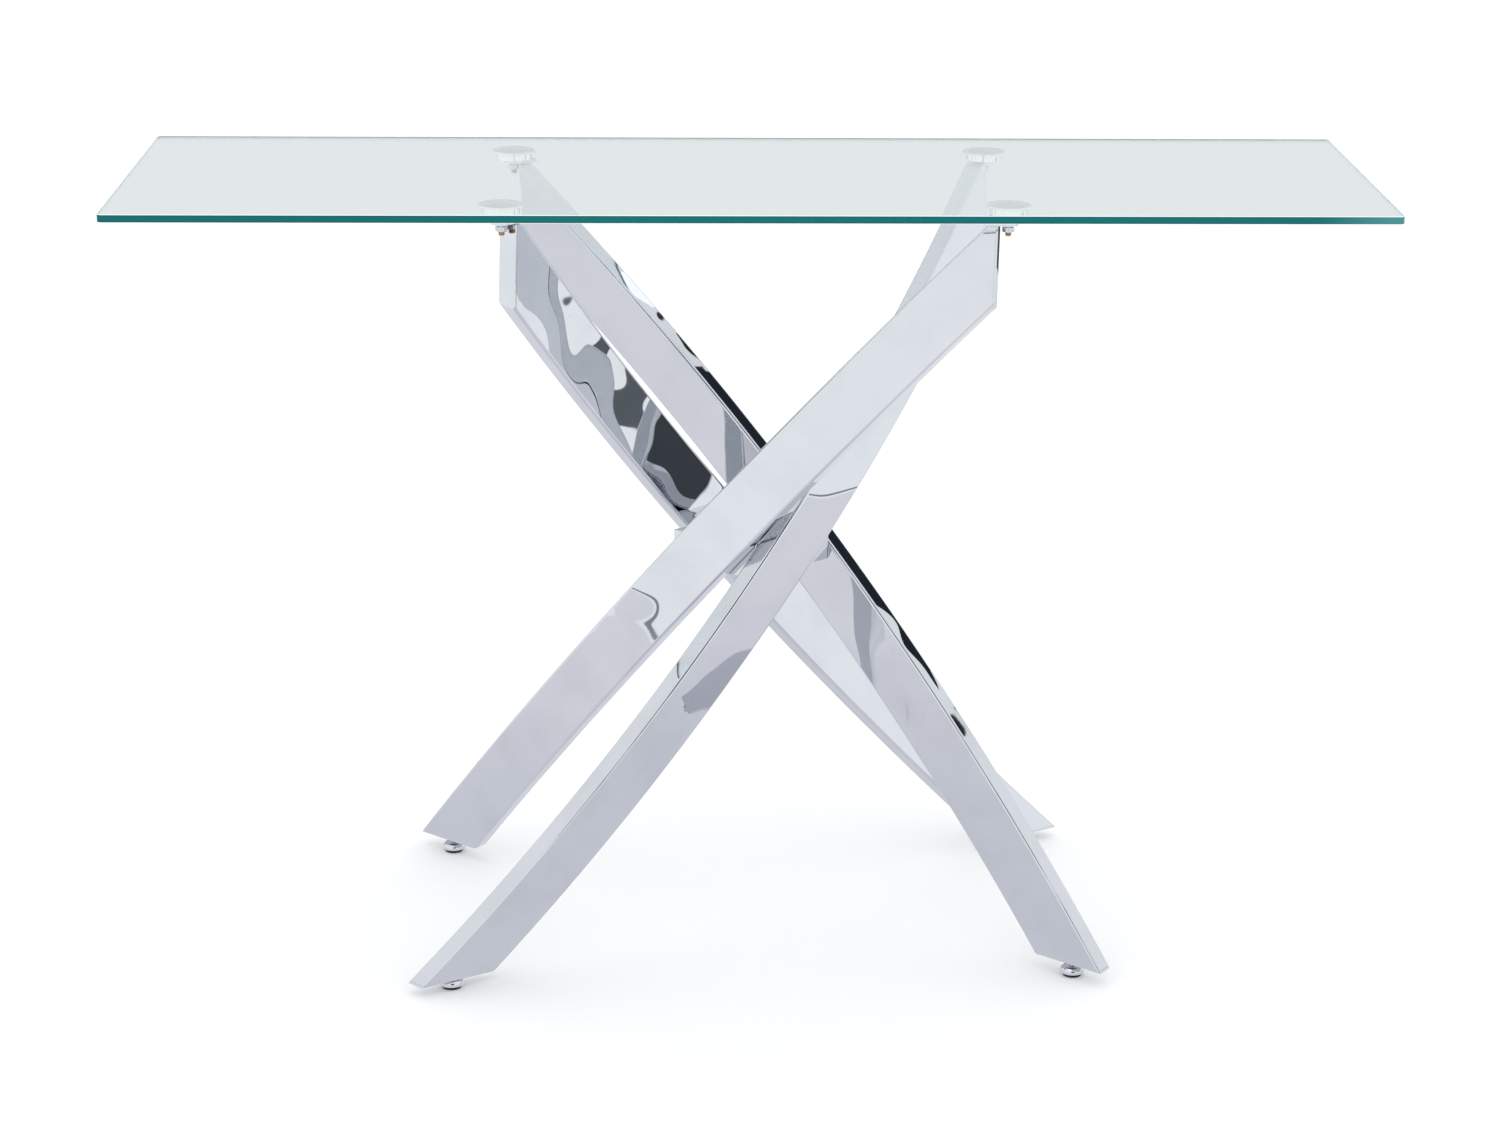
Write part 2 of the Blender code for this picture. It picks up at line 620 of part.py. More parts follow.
def place_leg_pair(pair, leg, side, shared, finish):
    """Both legs of a pair, with everything that is fastened to them."""
    own = {
        "tube": leg.tube(side.screw_axes()),
        "cap": leg.end_cap(),
        "plate": leg.foot_plate(),
        "lug": leg.lug(),
    }
    plate_matrix = Matrix((side.level, side.normal.cross(side.level), side.normal)).transposed()
    plate_turn = plate_matrix.to_quaternion()
    plate_depth = TUBE_WALL + GAP - TUBE_THICKNESS / 2
    for number, (top_name, floor_name) in enumerate(pair["names"]):
        root = holder("leg_" + top_name, math.pi * number)
        stand = Vector((leg.foot.x, leg.foot.y, 0.0))
        under = Vector((leg.pad.x, leg.pad.y, 0.0))
        place("leg_tube_" + top_name, own["tube"], finish["chrome"], root)
        place("end_cap_" + top_name, own["cap"], finish["chrome"], root)
        place("lug_" + top_name, own["lug"], finish["chrome"], root)
        place("foot_plate_" + floor_name, own["plate"], finish["chrome"], root)
        place("glass_pad_" + top_name, shared["pad"], finish["satin"], root, under + UP * PAD_TOP)
        place("pad_stud_" + top_name, shared["stud"], finish["yellow_zinc"], root,
              under + UP * STUD_BOTTOM)
        place("washer_" + top_name, shared["washer"], finish["zinc"], root,
              under + UP * (WASHER_TOP - WASHER_THICKNESS))
        place("pad_nut_" + top_name, shared["nut"], finish["zinc"], root,
              under + UP * (NUT_TOP - NUT_HEIGHT))
        place("weld_nut_" + floor_name, shared["weld_nut"], finish["bare"], root,
              stand + UP * (leg.foot_plate_top + GAP), plate_heading(leg))
        place("foot_cup_" + floor_name, shared["cup"], finish["chrome"], root, stand)
        place("foot_pad_" + floor_name, shared["foot_pad"], finish["black"], root, stand)
        place("nut_plate_" + top_name, shared["nut_plate"], finish["bare"], root,
              side.leg_middle + side.normal * plate_depth, plate_turn)
        for end, start in zip(("upper", "lower"), side.screw_starts()):
            place("hub_screw_" + top_name + "_" + end, shared["screw"], finish["zinc"], root,
                  start, plate_turn)


def plate_heading(leg):
    """Turn that lines a hexagon's flats up with the sides of a leg at its foot."""
    along = leg.tangent(leg.sweep).to_2d()
    return Matrix.Rotation(math.atan2(along.y, along.x), 3, "Z").to_quaternion()


def main():
    """Build the table."""
    for item in list(bpy.data.objects):
        bpy.data.objects.remove(item)
    finish = make_materials()
    legs = [Leg(CLIMBING_PAIR), Leg(FALLING_PAIR)]
    sides = [HubSide(leg) for leg in legs]
    shared = {
        "pad": make_pad(),
        "stud": make_stud(),
        "washer": ring(WASHER_RADIUS, STUD_RADIUS + SCREW_HOLE_GAP, 0.0, WASHER_THICKNESS,
                       "washer", SMALL),
        "nut": make_nut(NUT_FLATS, NUT_HEIGHT, STUD_RADIUS + THREAD_GAP, "pad_nut"),
        "weld_nut": make_nut(WELD_NUT_FLATS, WELD_NUT_HEIGHT, STEM_RADIUS + THREAD_GAP, "weld_nut"),
        "screw": make_screw(),
        "nut_plate": make_nut_plate(),
        "cup": make_foot_cup(),
        "foot_pad": make_foot_pad(),
    }
    place("glass_top", make_glass(), finish["glass"])
    around = [sides[0], sides[1].half_turned(), sides[0].half_turned(), sides[1]]
    place("hub", make_hub(around), finish["chrome"])
    for pair, leg, side in zip((CLIMBING_PAIR, FALLING_PAIR), legs, sides):
        place_leg_pair(pair, leg, side, shared, finish)


main()
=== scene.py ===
"""Looks of a console table: a clear glass top on four crossed, bowed chrome legs.

Every leg is a flat tube bent along one arc. It runs from a pad under one corner of the glass,
lies against one side of a small hub, and ends on a levelling foot under the opposite corner.
Half a turn about the table's upright axis gives the second leg of each pair.
"""

from __future__ import annotations

import logging  # noqa: E402
import math  # noqa: E402
from dataclasses import dataclass, field  # noqa: E402
from enum import Enum  # noqa: E402
from typing import ClassVar  # noqa: E402

import bmesh  # noqa: E402
import bpy  # noqa: E402
from mathutils import Matrix, Vector  # noqa: E402


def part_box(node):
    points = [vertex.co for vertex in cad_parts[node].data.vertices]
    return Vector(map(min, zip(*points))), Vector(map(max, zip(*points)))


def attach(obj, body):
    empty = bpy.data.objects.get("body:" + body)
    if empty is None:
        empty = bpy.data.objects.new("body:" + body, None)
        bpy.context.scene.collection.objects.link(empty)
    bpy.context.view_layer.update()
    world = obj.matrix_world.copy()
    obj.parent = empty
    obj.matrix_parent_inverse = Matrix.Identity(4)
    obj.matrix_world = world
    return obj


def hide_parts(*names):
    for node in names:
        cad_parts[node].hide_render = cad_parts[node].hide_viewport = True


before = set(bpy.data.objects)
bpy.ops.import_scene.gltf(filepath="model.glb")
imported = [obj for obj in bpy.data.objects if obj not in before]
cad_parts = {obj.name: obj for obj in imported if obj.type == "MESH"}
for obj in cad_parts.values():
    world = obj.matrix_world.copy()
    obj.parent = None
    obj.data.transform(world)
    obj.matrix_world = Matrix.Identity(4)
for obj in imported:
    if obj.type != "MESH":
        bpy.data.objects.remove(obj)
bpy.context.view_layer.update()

LOG = logging.getLogger("table")
UP = Vector((0.0, 0.0, 1.0))
Triple = tuple[float, float, float]
Colour = Triple


def shade(colour: Colour, factor: float) -> Colour:
    """The colour, brighter or darker by a factor."""
    return tuple(part * factor for part in colour)


def heights(node: str) -> tuple[float, float]:
    """The lowest and highest point of a plain solid."""
    low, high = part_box(node)
    return low.z, high.z


def half_turn(number: int) -> Matrix:
    """No turn for the first leg of a pair, half a turn for its partner."""
    return Matrix.Rotation(math.pi * number, 4, "Z")


# ------------------------------------------------------------------ shader writing
class Wire:
    """A shader value that can be used in arithmetic."""

    def __init__(self, paper: "Paper", socket: bpy.types.NodeSocket) -> None:
        """Args:
            paper: the node tree's writer.
            socket: the output that carries the value.
        """
        self.paper = paper
        self.socket = socket

    def _with(self, operation: str, first: object, second: object) -> "Wire":
        """Add one Math node.

        Args:
            operation: the Math node's operation.
            first: its first value.
            second: its second value.

        Returns:
            The node's output.
        """
        return self.paper.node("ShaderNodeMath", {"operation": operation}, {0: first, 1: second})

    def __add__(self, other: object) -> "Wire":
        """Sum."""
        return self._with("ADD", self, other)

    def __radd__(self, other: object) -> "Wire":
        """Sum, other way round."""
        return self._with("ADD", other, self)

    def __sub__(self, other: object) -> "Wire":
        """Difference."""
        return self._with("SUBTRACT", self, other)

    def __rsub__(self, other: object) -> "Wire":
        """Difference, other way round."""
        return self._with("SUBTRACT", other, self)

    def __mul__(self, other: object) -> "Wire":
        """Product."""
        return self._with("MULTIPLY", self, other)

    def __rmul__(self, other: object) -> "Wire":
        """Product, other way round."""
        return self._with("MULTIPLY", other, self)

    def __truediv__(self, other: object) -> "Wire":
        """Quotient."""
        return self._with("DIVIDE", self, other)

    def __rtruediv__(self, other: object) -> "Wire":
        """Quotient, other way round."""
        return self._with("DIVIDE", other, self)

    def magnitude(self) -> "Wire":
        """The value without its sign."""
        return self._with("ABSOLUTE", self, 0.0)

    def ramp(self, low: float, high: float, start: float = 0.0, end: float = 1.0) -> "Wire":
        """Smooth step between two values.

        Args:
            low: the value where the step starts.
            high: the value where it ends.
            start: the result below low.
            end: the result above high.

        Returns:
            The stepped value.
        """
        return self.paper.node("ShaderNodeMapRange", {"interpolation_type": "SMOOTHSTEP"},
                               {0: self, 1: low, 2: high, 3: start, 4: end})


class Paper:
    """Writes the node tree of one material or world."""

    def __init__(self, tree: bpy.types.NodeTree) -> None:
        """Args:
            tree: the tree that is written.
        """
        self.tree = tree

    def make(self, kind: str, settings: dict, inputs: dict) -> bpy.types.Node:
        """Add a node, set its options first and then its sockets.

        Args:
            kind: the node's type.
            settings: its options by name.
            inputs: values or wires by socket name or number.

        Returns:
            The node.
        """
        node = self.tree.nodes.new(kind)
        for name, value in settings.items():
            setattr(node, name, value)
        for key, value in inputs.items():
            self.set(node, key, value)
        return node

    def node(self, kind: str, settings: dict, inputs: dict, output: int | str = 0) -> Wire:
        """Add a node and take one of its outputs.

        Args:
            kind: the node's type.
            settings: its options.
            inputs: values or wires by socket.
            output: the output that is taken.

        Returns:
            That output as a wire.
        """
        return Wire(self, self.make(kind, settings, inputs).outputs[output])

    def set(self, node: bpy.types.Node, key: int | str, value: object) -> None:
        """Give a socket a value or a link.

        Args:
            node: the node.
            key: the socket's name or number.
            value: a number, a colour or a wire.
        """
        socket = node.inputs[key]
        if isinstance(value, Wire):
            self.tree.links.new(value.socket, socket)
        elif isinstance(value, tuple) and len(value) == 3 and socket.type == "RGBA":
            socket.default_value = (*value, 1.0)
        else:
            socket.default_value = value

    def place(self) -> Wire:
        """The point on the piece, in metres."""
        return self.node("ShaderNodeTexCoord", {}, {}, "Object")

    def axis(self, name: str) -> Wire:
        """One coordinate of the point on the piece.

        Args:
            name: X, Y or Z.

        Returns:
            The coordinate.
        """
        return self.node("ShaderNodeSeparateXYZ", {}, {0: self.place()}, name)

    def noise(self, scale: float, detail: float = 2.0, roughness: float = 0.5,
              stretch: Triple = (1.0, 1.0, 1.0)) -> Wire:
        """Cloudy noise from 0 to 1.

        Args:
            scale: how many clouds to the metre.
            detail: how many finer layers.
            roughness: how strong they are.
            stretch: scale of each axis.

        Returns:
            The noise.
        """
        where = self.node("ShaderNodeMapping", {}, {"Vector": self.place(), "Scale": stretch})
        return self.node("ShaderNodeTexNoise", {}, {"Vector": where, "Scale": scale,
                                                    "Detail": detail, "Roughness": roughness})

    def specks(self, scale: float, size: float) -> Wire:
        """1 inside sparse round specks.

        Args:
            scale: how many cells to the metre.
            size: the speck's radius in cells.

        Returns:
            The mask.
        """
        near = self.node("ShaderNodeTexVoronoi", {}, {"Vector": self.place(), "Scale": scale},
                         "Distance")
        return near.ramp(size * 0.6, size, 1.0, 0.0)

    def mix(self, share: object, first: object, second: object) -> Wire:
        """Mix two colours.

        Args:
            share: how much of the second.
            first: the first colour.
            second: the second colour.

        Returns:
            The mixed colour.
        """
        node = self.make("ShaderNodeMix", {"data_type": "RGBA"}, {0: share, 6: first, 7: second})
        return Wire(self, node.outputs[2])

    def bump(self, height: Wire, distance: float, under: Wire | None = None) -> Wire:
        """A normal from a height.

        Args:
            height: the height from 0 to 1.
            distance: what 1 stands for, in metres.
            under: a normal that this one is laid on.

        Returns:
            The normal.
        """
        inputs = {"Height": height, "Distance": distance, "Strength": 1.0}
        if under is not None:
            inputs["Normal"] = under
        return self.node("ShaderNodeBump", {}, inputs)


@dataclass(frozen=True)
class Finish:
    """A surface finish. Each kind writes its own pattern over the same shader."""

    made: ClassVar[dict[str, bpy.types.Material]] = {}

    name: str
    slot: str
    colour: Colour
    roughness: float
    metallic: float = 0.0
    fixed: dict = field(default_factory=dict)

    def material(self) -> bpy.types.Material:
        """The finish's material, built when it is first asked for."""
        if self.name not in self.made:
            self.made[self.name] = self.make()
        return self.made[self.name]

    def make(self) -> bpy.types.Material:
        """Build the material.

        Returns:
            The material, with its uniform values on the shader itself.
        """
        material = bpy.data.materials.new(self.name)
        material.use_nodes = True
        material.diffuse_color = (*self.colour, 1.0)
        paper = Paper(material.node_tree)
        shader = material.node_tree.nodes["Principled BSDF"]
        paper.set(shader, "Base Color", self.colour)
        paper.set(shader, "Roughness", self.roughness)
        paper.set(shader, "Metallic", self.metallic)
        for key, value in self.fixed.items():
            paper.set(shader, key, value)
        self.pattern(paper, shader)
        return material

    def pattern(self, paper: Paper, shader: bpy.types.Node) -> None:
        """Write what varies over the surface.

        Args:
            paper: the material's writer.
            shader: its shader.
        """


@dataclass(frozen=True)
class Chrome(Finish):
    """Bright plate over bent and polished tube, with the slow waves that polishing leaves."""

    wave_scale: float = 8.0
    wave_height: float = 0.0040
    fine_scale: float = 19.0
    fine_height: float = 0.0016
    pit_scale: float = 28.0
    pit_size: float = 0.022
    pit_roughness: float = 0.25
    pit_shade: float = 0.86
    wiped_roughness: float = 0.030
    haze_shade: float = 0.94

    def pattern(self, paper: Paper, shader: bpy.types.Node) -> None:
        """Slow and finer waves, a few pits, dull wiped patches and a thin haze.

        Args:
            paper: the material's writer.
            shader: its shader.
        """
        waves = paper.bump(paper.noise(self.wave_scale, 0.0), self.wave_height)
        finer = paper.bump(paper.noise(self.fine_scale, 0.0), self.fine_height, waves)
        pits = paper.specks(self.pit_scale, self.pit_size)
        wiped = paper.noise(7.0, 4.0, 0.6).ramp(0.55, 0.80)
        haze = paper.noise(16.0, 4.0, 0.55).ramp(0.40, 0.75)
        hazy = paper.mix(haze, self.colour, shade(self.colour, self.haze_shade))
        paper.set(shader, "Normal", finer)
        paper.set(shader, "Roughness",
                  self.roughness + wiped * self.wiped_roughness + pits * self.pit_roughness)
        paper.set(shader, "Base Color",
                  paper.mix(pits * 0.6, hazy, shade(self.colour, self.pit_shade)))


@dataclass(frozen=True)
class Turned(Finish):
    """Metal off the lathe: fine rings round the piece's own upright axis."""

    centre: tuple[float, float] = (0.0, 0.0)
    ring_scale: float = 2600.0
    ring_height: float = 0.000006

    def pattern(self, paper: Paper, shader: bpy.types.Node) -> None:
        """Rings by radius and height, with patches of handling.

        Args:
            paper: the material's writer.
            shader: its shader.
        """
        across = paper.axis("X") - self.centre[0]
        along = paper.axis("Y") - self.centre[1]
        radius = paper.node("ShaderNodeMath", {"operation": "SQRT"},
                            {0: across * across + along * along})
        rings = paper.node("ShaderNodeMath", {"operation": "SINE"},
                           {0: (radius + paper.axis("Z")) * self.ring_scale})
        paper.set(shader, "Normal", paper.bump(rings * 0.5 + 0.5, self.ring_height))
        worn = paper.noise(90.0, 3.0, 0.6).ramp(0.40, 0.75)
        paper.set(shader, "Roughness", self.roughness + worn * 0.10)
        paper.set(shader, "Base Color",
                  paper.mix(worn * 0.5, self.colour, shade(self.colour, 0.82)))


@dataclass(frozen=True)
class Plated(Finish):
    """Zinc-plated or plain steel hardware: slightly mottled, with small scratches."""

    stain: Colour = (0.5, 0.5, 0.5)

    def pattern(self, paper: Paper, shader: bpy.types.Node) -> None:
        """Mottling and short scratches.

        Args:
            paper: the material's writer.
            shader: its shader.
        """
        mottle = paper.noise(260.0, 4.0, 0.65).ramp(0.38, 0.72)
        scratch = paper.noise(900.0, 2.0, 0.7, (1.0, 0.12, 0.35)).ramp(0.60, 0.74)
        paper.set(shader, "Base Color", paper.mix(mottle * 0.7, self.colour, self.stain))
        paper.set(shader, "Roughness", self.roughness + mottle * 0.16 - scratch * 0.08)
        paper.set(shader, "Normal", paper.bump(scratch + mottle * 0.4, 0.000012))


@dataclass(frozen=True)
class GlassFace(Finish):
    """Polished float glass, clear apart from a few wiped streaks."""

    def pattern(self, paper: Paper, shader: bpy.types.Node) -> None:
        """A very slight change of tint, and nearly invisible wipe marks.

        Args:
            paper: the material's writer.
            shader: its shader.
        """
        wiped = paper.noise(5.0, 3.0, 0.6, (1.0, 0.3, 1.0)).ramp(0.60, 0.85)
        paper.set(shader, "Roughness", self.roughness + wiped * 0.006)
        paper.set(shader, "Base Color",
                  paper.mix(wiped * 0.4, self.colour, shade(self.colour, 0.985)))


@dataclass(frozen=True)
class GlassEdge(Finish):
    """The ground and polished edge, where light from the whole sheet comes out blue-green."""

    middle: float = 0.0
    half: float = 0.004
    line: Colour = (0.0, 0.0, 0.0)
    # painted light: the colour the edge fades to towards its right end, where that ends, how far it
    # reaches and how strong it is
    pale: Colour = (1.0, 1.0, 1.0)
    painted_light_at: float = 1.0
    painted_light_reach: float = 0.09
    painted_light_share: float = 0.75

    def pattern(self, paper: Paper, shader: bpy.types.Node) -> None:
        """Dark lines along both arrises, painted light that makes the right end lighter, slow
        changes and faint grinding.

        Args:
            paper: the material's writer.
            shader: its shader.
        """
        off = (paper.axis("Z") - self.middle).magnitude() / self.half
        rim = off.ramp(0.50, 0.78)
        slow = paper.noise(2.2, 2.0, 0.5, (1.0, 1.0, 0.0)).ramp(0.30, 0.75)
        fine = paper.noise(140.0, 3.0, 0.6, (1.0, 1.0, 0.15))
        body = paper.mix(slow * 0.35, self.colour, shade(self.colour, 1.35))
        # painted light: the edge grows lighter towards its right end
        painted_light_mask = paper.axis("X").ramp(self.painted_light_at - self.painted_light_reach, self.painted_light_at, 0.0,
                                     self.painted_light_share)
        paper.set(shader, "Base Color",
                  paper.mix(painted_light_mask, paper.mix(rim, body, self.line), self.pale))
        paper.set(shader, "Roughness", self.roughness + fine * 0.10)
        paper.set(shader, "Normal", paper.bump(fine, 0.000008))


@dataclass(frozen=True)
class Moulded(Finish):
    """Moulded black plastic with a fine grain."""

    dust_colour: Colour = (0.09, 0.09, 0.09)
    dust_height: float = 0.0010

    def pattern(self, paper: Paper, shader: bpy.types.Node) -> None:
        """Grain, and dust where it stands on the floor.

        Args:
            paper: the material's writer.
            shader: its shader.
        """
        grain = paper.noise(1500.0, 2.0, 0.6)
        dust = paper.axis("Z").ramp(0.0, self.dust_height, 0.20, 0.0)
        paper.set(shader, "Base Color", paper.mix(dust, self.colour, self.dust_colour))
        paper.set(shader, "Roughness", self.roughness + grain * 0.20)
        paper.set(shader, "Normal", paper.bump(grain, 0.00004))


# ------------------------------------------------------------------ mesh work
class Cut(Enum):
    """How one mesh changes another."""

    AWAY = "DIFFERENCE"
    COMMON = "INTERSECT"


class Shop:
    """Mesh work that several sub-assemblies need."""

    sharp: float = math.radians(40)

    @staticmethod
    def finished(bm: bmesh.types.BMesh, name: str) -> bpy.types.Mesh:
        """Turn a bmesh into a mesh.

        Args:
            bm: the bmesh, which is freed.
            name: the mesh's name.

        Returns:
            The mesh, with merged doubles and outward faces.
        """
        bmesh.ops.remove_doubles(bm, verts=bm.verts[:], dist=1e-6)
        bmesh.ops.recalc_face_normals(bm, faces=bm.faces[:])
        mesh = bpy.data.meshes.new(name)
        bm.to_mesh(mesh)
        bm.free()
        return mesh

    @staticmethod
    def lathe(outline: list[tuple[float, float]], name: str, steps: int = 96) -> bpy.types.Mesh:
        """Spin an outline about the upright axis.

        Args:
            outline: radius and height of each corner.
            name: the mesh's name.
            steps: facets round the piece.

        Returns:
            The turned mesh.
        """
        bm = bmesh.new()
        points = [bm.verts.new((radius, 0.0, height)) for radius, height in outline]
        edges = [bm.edges.new(pair) for pair in zip(points, points[1:])]
        bmesh.ops.spin(bm, geom=points + edges, cent=(0, 0, 0), axis=(0, 0, 1),
                       angle=math.tau, steps=steps, use_merge=True)
        return Shop.finished(bm, name)

    @staticmethod
    def plate(bm: bmesh.types.BMesh, width: float, depth: float, radius: float,
              steps: int) -> None:
        """Add a flat rectangle with round corners.

        Args:
            bm: the bmesh it is added to.
            width: its size along X.
            depth: its size along Y.
            radius: the radius of its corners.
            steps: facets in each corner.
        """
        made = bmesh.ops.create_grid(bm, x_segments=1, y_segments=1, size=0.5)
        bmesh.ops.scale(bm, vec=(width, depth, 1.0), verts=made["verts"])
        bmesh.ops.bevel(bm, geom=made["verts"], offset=radius, offset_type="OFFSET",
                        segments=steps, profile=0.5, affect="VERTICES", material=-1)

    @staticmethod
    def raised(bm: bmesh.types.BMesh, by: Vector) -> None:
        """Pull the flat faces of a bmesh up into a solid.

        Args:
            bm: the bmesh.
            by: the direction and length of the pull.
        """
        pulled = bmesh.ops.extrude_face_region(bm, geom=bm.faces[:])
        points = [item for item in pulled["geom"] if isinstance(item, bmesh.types.BMVert)]
        bmesh.ops.translate(bm, verts=points, vec=by)

    @staticmethod
    def rod(start: Vector, direction: Vector, length: float, radius: float, name: str,
            steps: int = 48) -> bpy.types.Mesh:
        """A plain cylinder, used to drill holes.

        Args:
            start: the middle of its first end.
            direction: where it points.
            length: its length.
            radius: its radius.
            name: the mesh's name.
            steps: facets round it.

        Returns:
            The cylinder.
        """
        bm = bmesh.new()
        bmesh.ops.create_cone(bm, cap_ends=True, segments=steps, radius1=radius, radius2=radius,
                              depth=length)
        bmesh.ops.translate(bm, verts=bm.verts[:], vec=(0.0, 0.0, length / 2))
        turn = direction.to_track_quat("Z", "Y").to_matrix().to_4x4()
        bmesh.ops.transform(bm, matrix=Matrix.Translation(start) @ turn, verts=bm.verts[:])
        return Shop.finished(bm, name)

    @staticmethod
    def thread(low: float, high: float, root: float, crest: float,
               pitch: float) -> list[tuple[float, float]]:
        """The outline of a grooved length.

        Args:
            low: where the first groove starts.
            high: the last groove ends below this.
            root: the radius between the ridges.
            crest: the radius of the ridges.
            pitch: the height of one ridge.

        Returns:
            Radius and height of each corner.
        """
        outline = []
        height = low
        while height + pitch < high:
            outline += [(root, height), (crest, height + pitch * 0.42),
                        (crest, height + pitch * 0.58), (root, height + pitch)]
            height += pitch
        return outline

    @staticmethod
    def carved(blank: bpy.types.Mesh, tools: list[bpy.types.Mesh], name: str,
               cut: Cut = Cut.AWAY) -> bpy.types.Mesh:
        """Change a mesh with others.

        Args:
            blank: the mesh that is changed.
            tools: the meshes that change it, one after another.
            name: the result's name.
            cut: what each one does.

        Returns:
            The carved mesh.
        """
        scene = bpy.context.scene.collection
        body = bpy.data.objects.new(name, blank)
        scene.objects.link(body)
        helpers = []
        for tool in tools:
            helper = bpy.data.objects.new(name + "_tool", tool)
            scene.objects.link(helper)
            modifier = body.modifiers.new("cut", "BOOLEAN")
            modifier.operation = cut.value
            modifier.solver = "EXACT"
            modifier.object = helper
            helpers.append(helper)
        bpy.context.view_layer.update()
        graph = bpy.context.evaluated_depsgraph_get()
        mesh = bpy.data.meshes.new_from_object(body.evaluated_get(graph))
        mesh.name = name
        for item in [body, *helpers]:
            bpy.data.objects.remove(item)
        return mesh

    @staticmethod
    def clipped(bm: bmesh.types.BMesh, point: Vector, outward: Vector) -> None:
        """Cut off what lies beyond a plane and close the cut.

        Args:
            bm: the bmesh.
            point: a point of the plane.
            outward: the side that goes.
        """
        geometry = bm.verts[:] + bm.edges[:] + bm.faces[:]
        bmesh.ops.bisect_plane(bm, geom=geometry, dist=1e-7, plane_co=point, plane_no=outward,
                               clear_outer=True)
        bmesh.ops.holes_fill(bm, edges=[edge for edge in bm.edges if edge.is_boundary], sides=0)

    @staticmethod
    def shown(name: str, mesh: bpy.types.Mesh, finish: Finish, body: str, node: str,
              matrix: Matrix | None = None, edge: float = 0.0) -> bpy.types.Object:
        """Put a finished piece on its body.

        Args:
            name: the piece's name.
            mesh: its mesh.
            finish: its finish.
            body: the body it rides on.
            node: the plain solid that it stands for.
            matrix: where it goes.
            edge: how far its sharp edges are broken, in metres.

        Returns:
            The piece.
        """
        own = mesh.copy()
        own.name = name
        if matrix is not None:
            own.transform(matrix)
        if own.materials:  # clearing an empty list would forget which face has which finish
            own.materials.clear()
        own.materials.append(finish.material())
        own.shade_smooth()
        own.set_sharp_from_angle(angle=Shop.sharp)
        piece = bpy.data.objects.new(name, own)
        bpy.context.scene.collection.objects.link(piece)
        if edge > 0.0:
            bevel = piece.modifiers.new("edges", "BEVEL")
            bevel.width = edge
            bevel.segments = 2
            bevel.limit_method = "ANGLE"
            bevel.angle_limit = Shop.sharp
            bevel.harden_normals = False
        even = piece.modifiers.new("even", "WEIGHTED_NORMAL")
        even.keep_sharp = edge <= 0.0
        even.weight = 60
        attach(piece, body)
        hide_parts(node)
        LOG.info("%s on %s", name, body)
        return piece


# ------------------------------------------------------------------ finishes of this table
CHROME = Chrome("bright_chrome", "chrome", (0.640, 0.652, 0.690), 0.020, 1.0)
HUB_CHROME = Chrome("hub_chrome", "chrome", (0.630, 0.645, 0.680), 0.030, 1.0,
                    wave_scale=20.0, wave_height=0.00050)
CAP_CHROME = Chrome("cap_chrome", "chrome", (0.640, 0.652, 0.690), 0.020, 1.0,
                    wave_scale=34.0, wave_height=0.00180)
FOOT_CHROME = Chrome("foot_chrome", "chrome_foot", (0.66, 0.67, 0.70), 0.040, 1.0,
                     wave_scale=90.0, wave_height=0.00003, fine_height=0.0)
ZINC = Plated("bright_zinc", "zinc", (0.62, 0.63, 0.66), 0.22, 1.0, stain=(0.44, 0.45, 0.49))
YELLOW_ZINC = Plated("yellow_zinc", "yellow_zinc", (0.60, 0.43, 0.30), 0.30, 1.0,
                     stain=(0.38, 0.24, 0.16))
BARE_STEEL = Plated("bare_steel", "bare_steel", (0.36, 0.36, 0.37), 0.38, 1.0,
                    stain=(0.20, 0.19, 0.18))
BLACK_PLASTIC = Moulded("black_plastic", "black_plastic", (0.006, 0.006, 0.007), 0.45,
                        fixed={"Specular IOR Level": 0.25})


